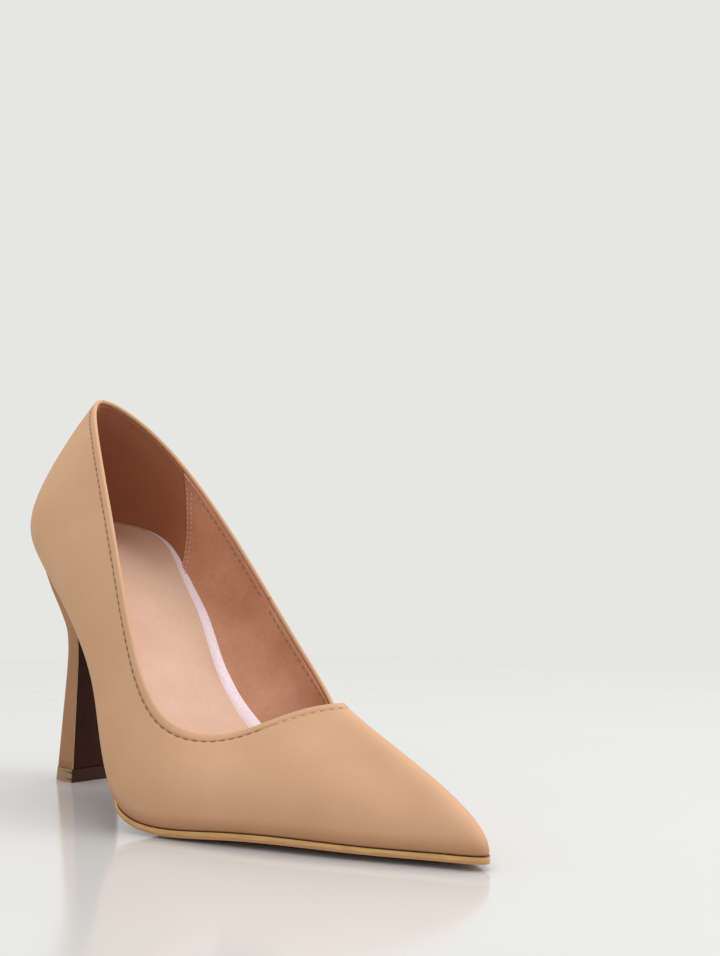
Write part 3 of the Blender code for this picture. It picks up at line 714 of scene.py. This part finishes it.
def cove(rib, height):
    """How far the lining curves in on to the insole board, at a height above the bottom of the foot."""
    rib = np.mod(rib, RIBS)
    from_toe = np.minimum(rib, RIBS - rib)
    radius = np.interp(from_toe, *np.transpose(COVE))
    curve = quarter_round(np.maximum(height - BOARD_TOP, 0), radius)
    return curve * ramp(height, BOARD_TOP - 0.6, BOARD_TOP)


def height_above(points):
    """Height above the bottom of the foot, square to it."""
    rise = points[..., 2] - bottom_height(points[..., 0], points[..., 1])
    return rise * bottom_normal(points[..., 0])[..., 2]


def lining_inside(rib, v, inset):
    """Points of the lining's inner face, sunk under the sock, and the height each has above the bottom."""
    outer = wall(rib, v, lining_depth(rib, v))
    level = height_above(outer)
    inner = wall(rib, v, inset + cove(rib, level))
    change = bottom_height(inner[..., 0], inner[..., 1]) - bottom_height(outer[..., 0], outer[..., 1])
    inner[..., 2] += (1 - ramp(level, 8, 20)) * change - SINK * (1 - ramp(level, *SINK_LEVELS))
    return inner, level


def lining_piece(name, start, end, look, slot, nodes, proud=0.0):
    """A piece of the lining. proud lifts its ends where they lie over the neighbouring piece."""
    grid = WallGrid(start, end, first_arc=2.4, last_drop=LINING_DROP)
    depth = lining_depth(grid.rib, grid.v)
    step = proud * (1 - ramp(grid.from_end, 3.5, 7.0))[None]
    inside = depth + LINING_THICK + step - quarter_round(grid.from_end, 0.4)[None]
    outer = wall(grid.rib, grid.v, depth)
    inner = lining_inside(grid.rib, grid.v, inside)[0]
    # Painted shade along the piece's seams at its ends; of the linings only the nubuck grip shows it.
    seam_shade = 0.5 * np.exp(-((grid.from_end / 0.5) ** 2))[None] * np.ones_like(depth)
    mesh = shell(name, outer, inner, {"painted_shade": (seam_shade, seam_shade)})
    return add_piece(name, mesh, [look], nodes, 50)


# ---------------------------------------------------------------- stitches

# Sections along one stitch: place along its length, height above the leather, radius; all in mm.
STITCH_RINGS = ((-0.5, -0.30, 0.10), (-0.42, -0.05, 0.19), (-0.22, 0.07, 0.22), (0.22, 0.07, 0.22))
STITCH_RINGS += ((0.42, -0.05, 0.19), (0.5, -0.30, 0.10))
STITCH_SIDES = 8
# The needle holes: place from the stitch's middle as a share of its length, then mm.
HOLE_PLACE, HOLE_RADIUS, HOLE_SUNK, HOLE_CROWN = 0.56, 0.34, 0.12, 0.05
TOPLINE_PITCH, TOPLINE_STITCH = 3.0, 2.0
SEAM_PITCH, SEAM_STITCH = 1.9, 1.3
GRIP_ROWS = (1.1, 3.0)  # distances of the two rows from the grip's edge
ROW_SAMPLES = 900


def stitch_row(name, points, normals, pitch, length, looks, width=1.0):
    """A row of raised stitches along a line of design points, with a needle hole at each end painted dark as
    shade.
    """
    steps = np.linalg.norm(np.diff(points, axis=0), axis=1)
    run = np.concatenate([[0], np.cumsum(steps)])
    places = np.arange(pitch, run[-1] - pitch / 2, pitch)

    def at(values, where):
        return np.stack([np.interp(where, run, values[:, k]) for k in range(3)], 1)

    centre, up = at(points, places), unit(at(normals, places))
    ahead = unit(at(points, places + 0.5) - at(points, places - 0.5))
    across = unit(np.cross(up, ahead))
    turn = np.linspace(0, 2 * math.pi, STITCH_SIDES, endpoint=False)
    sides = [(k, (k + 1) % STITCH_SIDES) for k in range(STITCH_SIDES)]
    vertices, faces, holes = [], [], []
    for c, n, t, b in zip(to_world(centre) / MM, *(v[:, [1, 0, 2]] for v in (up, ahead, across))):
        first = len(vertices)
        for place, height, radius in STITCH_RINGS:
            middle = c + place * length * t + height * n
            vertices += [middle + width * radius * (math.cos(a) * b + math.sin(a) * n) for a in turn]
        for ring in range(len(STITCH_RINGS) - 1):
            low = first + ring * STITCH_SIDES
            high = low + STITCH_SIDES
            faces += [(low + k, low + m, high + m, high + k) for k, m in sides]
        last = first + (len(STITCH_RINGS) - 1) * STITCH_SIDES
        faces.append(tuple(range(first + STITCH_SIDES - 1, first - 1, -1)))
        faces.append(tuple(range(last, last + STITCH_SIDES)))
        for end in (-HOLE_PLACE, HOLE_PLACE):
            first = len(vertices)
            middle = c + end * length * t
            spokes = [math.cos(a) * t + 0.8 * math.sin(a) * b for a in turn]
            rim = [middle + HOLE_RADIUS * width * spoke - HOLE_SUNK * n for spoke in spokes]
            vertices += rim + [middle + HOLE_CROWN * n]
            holes.append(len(faces))
            faces += [(first + k, first + m, first + STITCH_SIDES) for k, m in sides]
            faces.append(tuple(range(first + STITCH_SIDES - 1, first - 1, -1)))
    mesh = bpy.data.meshes.new(name)
    mesh.from_pydata([tuple(v * MM) for v in vertices], [], faces)
    for first in holes:
        for k in range(first, first + STITCH_SIDES + 1):
            mesh.polygons[k].material_index = 1
    mesh.validate()
    return add_piece(name, mesh, looks, (), 60)


def topline_row(name, start, end, drop, looks, inside=False):
    """A row of stitches along the topline, at a distance below it."""
    rib = np.linspace(start, end, ROW_SAMPLES)
    samples = ARC_SAMPLES[100:]
    line = wall(rib[None], samples)
    steps = np.linalg.norm(np.diff(line, axis=0), axis=-1)
    reached = np.vstack([0 * steps[:1], np.cumsum(steps, axis=0)])
    columns = range(ROW_SAMPLES)
    v = np.array([np.interp(reached[-1, k] - drop, reached[:, k], samples[:, 0]) for k in columns])
    normal = wall_normal(rib, v)
    depth = lining_depth(rib, v) + LINING_THICK if inside else -stitch_groove(drop)
    points = wall(rib, v, depth)
    facing = -normal if inside else normal
    return stitch_row(name, points, facing, TOPLINE_PITCH, TOPLINE_STITCH, looks)


def seam_row(name, seam, away, span, looks):
    """A row of stitches up the inside of the wall, beside a lining seam."""
    v = np.linspace(*span, 300)
    rib = seam[0] + (seam[1] - seam[0]) * v + away / RIB_SPACING
    normal = wall_normal(rib, v)
    points = wall(rib, v, lining_depth(rib, v) + LINING_THICK + LAP_PROUD)
    return stitch_row(name, points, -normal, SEAM_PITCH, SEAM_STITCH, looks, 0.8)


# ---------------------------------------------------------------- the sock

# Height of the sock's edge above the bottom, and its distance in from the lining, by ribs from the toe.
SOCK_EDGE = (
    (0.9, 6.3, 0.4),
    (2.5, 6.3, 1.0),
    (4.0, 6.3, 1.4),
    (4.6, 6.3, 1.4),
    (5.0, 6.5, 1.4),
    (5.3, 7.2, 1.2),
    (5.6, 8.4, 1.0),
    (6.0, 9.8, 0.9),
    (6.4, 9.6, 0.7),
    (6.8, 9.4, 0.45),
    (7.2, 9.4, 0.4),
    (8.0, 9.8, 0.4),
)
STRIP = ((0.9, 1.2), (3.0, 1.6), (4.5, 1.7), (5.6, 2.1), (6.2, 2.0), (6.7, 0.5), (7.0, 0.1), (8.0, 0.1))
SOCK_COLUMNS = 150
SOCK_SPINE_END = 208.0
FOAM_THICK = 2.0
COVER_THICK = 0.6


def lining_surface(rib, height):
    """Points of the lining's inner face at heights above the bottom of the foot."""
    v = np.linspace(0.02, 0.7, 120)
    found = []
    for r, h in zip(rib, height):
        inner, level = lining_inside(np.full(120, r), v, lining_depth(r, v) + LINING_THICK)
        found.append([np.interp(h, level, inner[:, k]) for k in range(3)])
    return np.array(found)


def sock_half(outer_side):
    """Rows of points from the strip's outer edge over the sock to its middle, for one half of the shoe."""
    share = np.linspace(0.9 / HEEL_RIB, 1, SOCK_COLUMNS)
    from_toe = HEEL_RIB * share
    rib = from_toe if outer_side else RIBS - from_toe
    height, off = (np.interp(from_toe, *np.transpose(SOCK_EDGE)[[0, k]]) for k in (1, 2))
    strip = np.interp(from_toe, *np.transpose(STRIP))
    turned = ramp(from_toe, 4.8, 5.6)[:, None]
    tangent = feather_line(rib + 1e-3, 0) - feather_line(rib - 1e-3, 0)
    inward = -plan_normal(tangent)
    rest = lining_surface(rib, height + 0.3)
    edge = rest + inward * (off + strip * (1 - turned[:, 0]))[:, None]
    flat = bottom_height(edge[:, 0], edge[:, 1]) + SOCK_TOP / bottom_normal(edge[:, 0])[:, 2]
    edge[:, 2] = flat + turned[:, 0] * (edge[:, 2] - flat)
    outermost = lining_surface(rib, height + 0.3 + strip * turned[:, 0]) + inward * 0.25
    half_width = np.abs(feather_line(rib, 0)[:, 1])
    reach = np.minimum(16.0, 0.62 * half_width + 3)
    foot = on_bottom(feather_line(rib, reach), SOCK_TOP + 0 * off)
    corner = on_bottom(feather_line(rib, np.minimum(reach * 0.45, 5.5)), SOCK_TOP + 0 * off)
    corner = corner * turned + (0.5 * (edge + foot)) * (1 - turned)
    outer_s = feather_line(from_toe, 0)[:, 0]
    inner_s = feather_line(RIBS - from_toe, 0)[:, 0]
    spine_s = np.minimum(0.5 * (outer_s + inner_s) + 3.0, SOCK_SPINE_END)
    spine_x = 0.5 * (np.interp(spine_s, OUTER_EDGE[:, 0], OUTER_EDGE[:, 1]))
    spine_x = spine_x + 0.5 * np.interp(spine_s, INNER_EDGE[:, 0], INNER_EDGE[:, 1])
    spine = np.stack([spine_s, spine_x, 0 * spine_s], -1)
    rows = [outermost]
    for t in np.linspace(0, 1, 13):
        rows.append((1 - t) ** 2 * edge + 2 * t * (1 - t) * corner + t * t * foot)
    for t in np.linspace(0, 1, 10)[1:]:
        flat = foot * (1 - t) + spine * t
        rows.append(on_bottom(flat, SOCK_TOP + 0 * off))
    rows = np.array(rows)
    middle = np.linspace(0, 1, len(rows))[:, None]
    heel_pad = np.exp(-(((rows[..., 0] - 203) / 16) ** 2)) * 1.1
    ball_pad = np.exp(-(((rows[..., 0] - 100) / 22) ** 2)) * 0.7
    rows[..., 2] += (heel_pad + ball_pad) * ramp(middle, 0.35, 1.0)
    return rows


def fan_mesh(name, halves, start_row):
    """One sheet over both halves, joined along the middle."""
    outer, inner = (half[start_row:] for half in halves)
    grid = np.concatenate([outer, inner[-2::-1]])
    build = bmesh.new()
    rows, columns = grid.shape[:2]
    points = [[build.verts.new(p) for p in row] for row in to_world(grid)]
    for i in range(rows - 1):
        for j in range(columns - 1):
            build.faces.new((points[i][j], points[i][j + 1], points[i + 1][j + 1], points[i + 1][j]))
    bmesh.ops.remove_doubles(build, verts=build.verts, dist=1e-5)
    bmesh.ops.dissolve_degenerate(build, edges=build.edges, dist=1e-6)
    bmesh.ops.recalc_face_normals(build, faces=build.faces)
    if sum(face.normal.z * face.calc_area() for face in build.faces) < 0:
        bmesh.ops.reverse_faces(build, faces=build.faces)
    mesh = bpy.data.meshes.new(name)
    build.to_mesh(mesh)
    build.free()
    return mesh


def thicken(piece, thickness):
    modifier = piece.modifiers.new("thickness", "SOLIDIFY")
    modifier.thickness = thickness * MM
    modifier.offset = -1
    modifier.use_even_offset = False


def build_sock():
    halves = [sock_half(True), sock_half(False)]
    cover = fan_mesh("sock_cover_leather", halves, 1)
    cover = add_piece("sock_cover_leather", cover, [SOCK], ("sock_cover",), 70)
    thicken(cover, COVER_THICK)
    lowered = [half.copy() for half in halves]
    for half in lowered:
        half[1] = half[1] + 0.12 * (half[0] - half[1])
        half[2:, :, 2] -= COVER_THICK + 0.1
    foam = fan_mesh("sock_foam_sheet", lowered, 0)
    foam = add_piece("sock_foam_sheet", foam, [FOAM], ("sock_foam",), 70)
    thicken(foam, FOAM_THICK)


# ---------------------------------------------------------------- the sole

OUTSOLE_END = 196.0
SOLE_PROUD = -0.3
SOLE_TOE, SOLE_BALL, SOLE_WAIST = 1.7, 1.9, 1.2
SOLE_CAMBER = 2.6  # how much thicker the sole is down its middle
WAIST_SHARE = 0.7
SOLE_TOE_STRETCH = 60.0  # stations are closer together up to here
SOLE_STATIONS = 60


def build_outsole():
    outer, inner = side_line(-1, SOLE_PROUD), side_line(1, SOLE_PROUD)
    turn = np.linspace(0, math.pi / 2, SOLE_STATIONS)
    toe = SOLE_PROUD + (SOLE_TOE_STRETCH - SOLE_PROUD) * (1 - np.cos(turn))
    stations = np.concatenate([toe, np.linspace(SOLE_TOE_STRETCH, OUTSOLE_END, 100)[1:]])
    outer_x = np.interp(stations, outer[:, 0], outer[:, 1])[:, None]
    inner_x = np.interp(stations, inner[:, 0], inner[:, 1])[:, None]
    share = (1 - np.cos(np.linspace(0, math.pi, 25))) / 2
    x = outer_x * (1 - share) + inner_x * share
    tuck = 1 - (1 - WAIST_SHARE) * ramp(stations, 114, 140)
    middle = x.mean(axis=1, keepdims=True)
    x = middle + (x - middle) * tuck[:, None]
    rows = on_bottom(np.stack([np.broadcast_to(stations[:, None], x.shape), x, 0 * x], -1))
    normal = bottom_normal(stations)[:, None]
    edge = SOLE_TOE + (SOLE_BALL - SOLE_TOE) * ramp(stations, 20, 75)
    edge -= (SOLE_BALL - SOLE_WAIST) * ramp(stations, 95, 125)
    camber = SOLE_CAMBER * ramp(stations, 5, 60) * (1 - 0.6 * ramp(stations, 100, 125))
    half = np.maximum(0.5 * (x[:, -1] - x[:, 0]), MM)
    off_middle = np.abs(x - middle) / half[:, None]
    thick = edge[:, None] + camber[:, None] * (1 - ramp(off_middle, 0.35, 1.0))
    top = rows - 0.1 * normal
    under = rows - (0.3 + thick[..., None]) * normal
    under[..., 2] = np.maximum(under[..., 2], GROUND)
    ones = np.ones(x.shape)
    mesh = shell("outsole_sheet", top, under, {"height": (ones, 0 * ones)}, rim=1)
    piece = add_piece("outsole_sheet", mesh, [SOLE, SOLE_EDGE], ("outsole",))
    bevel(piece, 0.35, 3, 50)


# ---------------------------------------------------------------- the heel

# The heel from the ground up: height, front, depth, half width and squareness of the section.
HEEL_SECTIONS = (
    (0, 200.8, 13.2, 11.0, 8),
    (6, 200.8, 12.6, 10.6, 8),
    (22, 200.6, 11.4, 10.0, 7),
    (38, 200.4, 10.2, 9.4, 6),
    (50, 200.0, 9.6, 9.2, 5),
    (59, 199.2, 11.0, 10.4, 4),
    (68, 198.3, 15.5, 13.4, 3.2),
    (77, 197.5, 22.5, 17.0, 2.6),
)
SEAT_FRONT = 197.2
SEAT_SQUARENESS = 2.3
TIP_HEIGHT = 6.0
WRAP_THICK = 0.6
HEEL_COLUMNS = 64
HEEL_CLEAR = 0.12  # between the coverings, and above the top piece
BREAST_SET_IN = 0.3
TIP_PROUD = 0.15


def heel_section(height, inset, front_inset):
    """The heel's outline at one height: round the back, and straight across the front."""
    table = np.array(HEEL_SECTIONS, float)
    front, depth, half, square = (np.interp(height, table[:, 0], table[:, k]) for k in range(1, 5))
    turn = np.linspace(0, math.pi, HEEL_COLUMNS + 1)
    power = 2 / square
    across = -np.sign(np.cos(turn)) * np.abs(np.cos(turn)) ** power * (half - inset)
    start = front + front_inset
    back = start + (depth - inset - front_inset) * np.sin(turn).clip(0) ** power
    level = np.full(HEEL_COLUMNS + 1, float(height))
    line = np.linspace(across[0], across[-1], HEEL_COLUMNS + 1)
    return np.stack([back, across, level], -1), np.stack([0 * level + start, line, level], -1)


def seat_section(inset, front_inset):
    start = SEAT_FRONT + front_inset
    turn = np.linspace(0, math.pi, HEEL_COLUMNS + 1)
    outer, inner = (side_line(side, inset + 0.4) for side in (-1, 1))
    end = min(outer[-1, 0], inner[-1, 0])
    s = start + (end - start) * np.sin(turn).clip(0) ** (2 / SEAT_SQUARENESS)
    half = HEEL_COLUMNS // 2
    outer_x = np.interp(s[:half], outer[:, 0], outer[:, 1])
    inner_x = np.interp(s[half:], inner[:, 0], inner[:, 1])
    x = np.concatenate([outer_x, inner_x])
    back = np.stack([s, x, bottom_height(s, x) - 0.15], -1)
    share = np.linspace(0, 1, HEEL_COLUMNS + 1)[:, None]
    return back, back[0] * (1 - share) + back[-1] * share


def smooth_through(levels, count):
    """Rows of points on smooth curves through the given rows."""
    levels = np.array(levels)
    knots = np.concatenate([[0], np.cumsum(np.linalg.norm(np.diff(levels, axis=0), axis=-1).mean(axis=1))])
    slopes = np.gradient(levels, knots, axis=0)
    where = np.linspace(0, knots[-1], count)
    i = np.clip(np.searchsorted(knots, where, side="right") - 1, 0, len(knots) - 2)
    gap = (knots[i + 1] - knots[i])[:, None, None]
    t = (where - knots[i])[:, None, None] / gap
    return (
        (2 * t**3 - 3 * t**2 + 1) * levels[i]
        + (t**3 - 2 * t**2 + t) * gap * slopes[i]
        + (-2 * t**3 + 3 * t**2) * levels[i + 1]
        + (t**3 - t**2) * gap * slopes[i + 1]
    )


def heel_grids(inset, front_inset, low):
    """Grids of the heel's round face and of its front face, from a height up to the seat."""
    sections = [heel_section(z, inset, front_inset) for z in (low, *np.linspace(14, 74, 9))]
    sections.append(seat_section(inset, front_inset))
    return [smooth_through([section[k] for section in sections], 70) for k in (0, 1)]


def build_heel():
    low = TIP_HEIGHT + HEEL_CLEAR
    outer, _ = heel_grids(0, 0, low)
    inner, _ = heel_grids(WRAP_THICK, 0, low)
    height = np.linspace(0, 1, len(outer))[:, None] * np.ones(outer.shape[1])
    # Painted shade on the covering: darker at its bottom above the top piece and at its top under the seat.
    painted_shade = 0.6 * (1 - ramp(height, 0.0, 0.05)) + 0.45 * ramp(height, 0.95, 1.0)
    mesh = shell("heel_wrap_leather", outer, inner, {"painted_shade": (painted_shade, painted_shade)}, rim=1)
    looks = [COVERING, CUT_EDGE]
    wrap = add_piece("heel_wrap_leather", mesh, looks, ("heel_wrap",), 50)
    bevel(wrap, 0.12, 2, 50)
    inset = WRAP_THICK + HEEL_CLEAR
    _, front = heel_grids(inset, BREAST_SET_IN, low)
    _, behind = heel_grids(inset, BREAST_SET_IN + WRAP_THICK, low)
    behind[..., 1] = front[..., 1]
    mesh = shell("heel_breast_leather", front, behind)
    nodes = ("heel_breast_cover",)
    breast = add_piece("heel_breast_leather", mesh, [BREAST], nodes, 50)
    bevel(breast, 0.15, 2, 50)


def build_tip():
    """The top piece, a little proud of the heel, with painted shade on its front face."""
    sections = [heel_section(z, -TIP_PROUD, -TIP_PROUD) for z in np.linspace(GROUND, TIP_HEIGHT, 9)]
    back, front = (np.array([section[k] for section in sections]) for k in (0, 1))
    ones = np.ones(back.shape[:2])
    # The front attribute marks the face that gets painted shade.
    mesh = shell("top_piece_block", back, front, {"front": (0 * ones, ones)})
    tip = add_piece("top_piece_block", mesh, [TIP], ("heel_tip",), 30)
    bevel(tip, 0.3, 3, 50)


# ---------------------------------------------------------------- assembly


def build_upper():
    upper_piece("vamp_outer_leather", before_toe(WAIST_SEAM), BACK_SEAM, ("vamp_and_outer_quarter",))
    upper_piece("inner_quarter_leather", BACK_SEAM, WAIST_SEAM, ("inner_quarter",))
    side = (LINING, "lining")
    span = (before_toe(VAMP_LINING_INNER), VAMP_LINING_OUTER)
    lining_piece("vamp_lining_leather", *span, *side, ("vamp_lining",))
    span = (VAMP_LINING_OUTER, GRIP_SEAM_OUTER)
    lining_piece("outer_lining_leather", *span, *side, ("outer_quarter_lining",), LAP_PROUD)
    span = (GRIP_SEAM_OUTER, GRIP_SEAM_INNER)
    lining_piece("heel_grip_leather", *span, GRIP, "heel_grip", ("heel_grip_lining",))
    span = (GRIP_SEAM_INNER, VAMP_LINING_INNER)
    lining_piece("inner_lining_leather", *span, *side, ("inner_quarter_lining",), LAP_PROUD)


# Ends of the topline's rows of stitches, in ribs: at the waist seam, round the vamp and at the back seam.
WAIST_START = WAIST_SEAM[1] - RIBS + 0.03
WAIST_END = WAIST_SEAM[1] - 0.03
VAMP_LIT_THREAD = (-2.6, 2.1)
BACK_ENDS = (7.97, 8.03)


def build_stitches():
    # The pale thread round the vamp and in the heel grip is painted light; the brown thread on the other rows
    # is painted shade.
    brown, pale = [THREAD_SHADED_COPY, HOLE], [THREAD_LIT_COPY, HOLE]
    nubuck_rows = (
        ("vamp", *VAMP_LIT_THREAD, pale),
        ("waist", WAIST_START, VAMP_LIT_THREAD[0], brown),
        ("outer", VAMP_LIT_THREAD[1], BACK_ENDS[0], brown),
        ("inner", BACK_ENDS[1], WAIST_END, brown),
    )
    for name, start, end, looks in nubuck_rows:
        topline_row(f"topline_stitches_{name}", start, end, STITCH_DROP, looks)
    lining_rows = (("outer", WAIST_START, BACK_ENDS[0]), ("inner", BACK_ENDS[1], WAIST_END))
    for name, start, end in lining_rows:
        topline_row(f"topline_stitches_inside_{name}", start, end, STITCH_DROP, brown, True)
    for number, away in enumerate(GRIP_ROWS, 1):
        seam_row(f"grip_stitches_inner_{number}", GRIP_SEAM_INNER, away, (0.2, 0.93), pale)
        seam_row(f"grip_stitches_outer_{number}", GRIP_SEAM_OUTER, -away, (0.2, 0.93), pale)


def finish_inner_pieces():
    """Materials of the CAD pieces that stay, inside the shoe."""
    looks = {
        "toe_puff": (STIFFENER, "stiffener"),
        "heel_counter": (STIFFENER, "stiffener"),
        "insole_board": (FIBREBOARD, "fibreboard"),
        "bottom_filler": (CORK, "cork"),
        "heel_core": (HEEL_PLASTIC, "heel_plastic"),
    }
    for name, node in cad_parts.items():
        if node.hide_render:
            continue
        look, slot = looks.get(name, (STEEL, "steel"))
        node.data.materials.clear()
        node.data.materials.append(look)


FLOOR_RADIUS = 0.66


def build_stage():
    floor_look = Look("studio_floor").set(Base_Color=(*srgb(214, 213, 211), 1), Specular_IOR_Level=0.5)
    haze = floor_look.noise(0.02, 2.0)
    floor_look.roughness(floor_look.remap(haze, 0.3, 0.7, 0.1, 0.16))
    mesh = bpy.data.meshes.new("studio_floor")
    turn = np.linspace(0, 2 * math.pi, 129)[:-1]
    rim = [(FLOOR_RADIUS * math.cos(a), FLOOR_RADIUS * math.sin(a), 0) for a in turn]
    mesh.from_pydata(rim, [], [tuple(range(len(rim)))])
    mesh.materials.append(floor_look.material)
    floor = bpy.data.objects.new("studio_floor", mesh)
    bpy.context.scene.collection.objects.link(floor)
    world = bpy.data.worlds.new("studio")
    bpy.context.scene.world = world
    world.use_nodes = True
    backdrop = world.node_tree.nodes["Background"]
    backdrop.inputs["Color"].default_value = (*srgb(230, 231, 229), 1)
    backdrop.inputs["Strength"].default_value = 1.0


LIGHT_TARGET = (0, 0, 0.06)


def area_light(name, place, side, power):
    """A square lamp that points at the middle of the shoe."""
    light = bpy.data.lights.new(name, "AREA")
    light.size = side
    light.energy = power
    lamp = bpy.data.objects.new(name, light)
    lamp.location = place
    aim = Vector(LIGHT_TARGET) - Vector(place)
    lamp.rotation_euler = aim.to_track_quat("-Z", "Y").to_euler()
    bpy.context.scene.collection.objects.link(lamp)


def build_lights():
    area_light("top_softbox", (0.15, 0.1, 1.1), 1.0, 5.0)
    area_light("front_softbox", (0.55, -0.75, 0.6), 0.6, 3.9)


CAMERA_PLACE = (-0.2766, -0.3633, 0.0896)
CAMERA_YAW = 43.3
CAMERA_TILT = 3.04
CAMERA_LENS = 49.8


def build_camera():
    data = bpy.data.cameras.new("camera")
    data.lens = CAMERA_LENS
    data.clip_start, data.clip_end = 0.01, 20
    camera = bpy.data.objects.new("camera", data)
    camera.location = CAMERA_PLACE
    camera.rotation_euler = (math.radians(90 + CAMERA_TILT), 0, math.radians(-CAMERA_YAW))
    bpy.context.scene.collection.objects.link(camera)
    bpy.context.scene.camera = camera


bpy.context.scene.view_settings.view_transform = "Standard"
build_camera()
build_upper()
build_stitches()
build_sock()
build_outsole()
build_heel()
build_tip()
finish_inner_pieces()
build_lights()
build_stage()
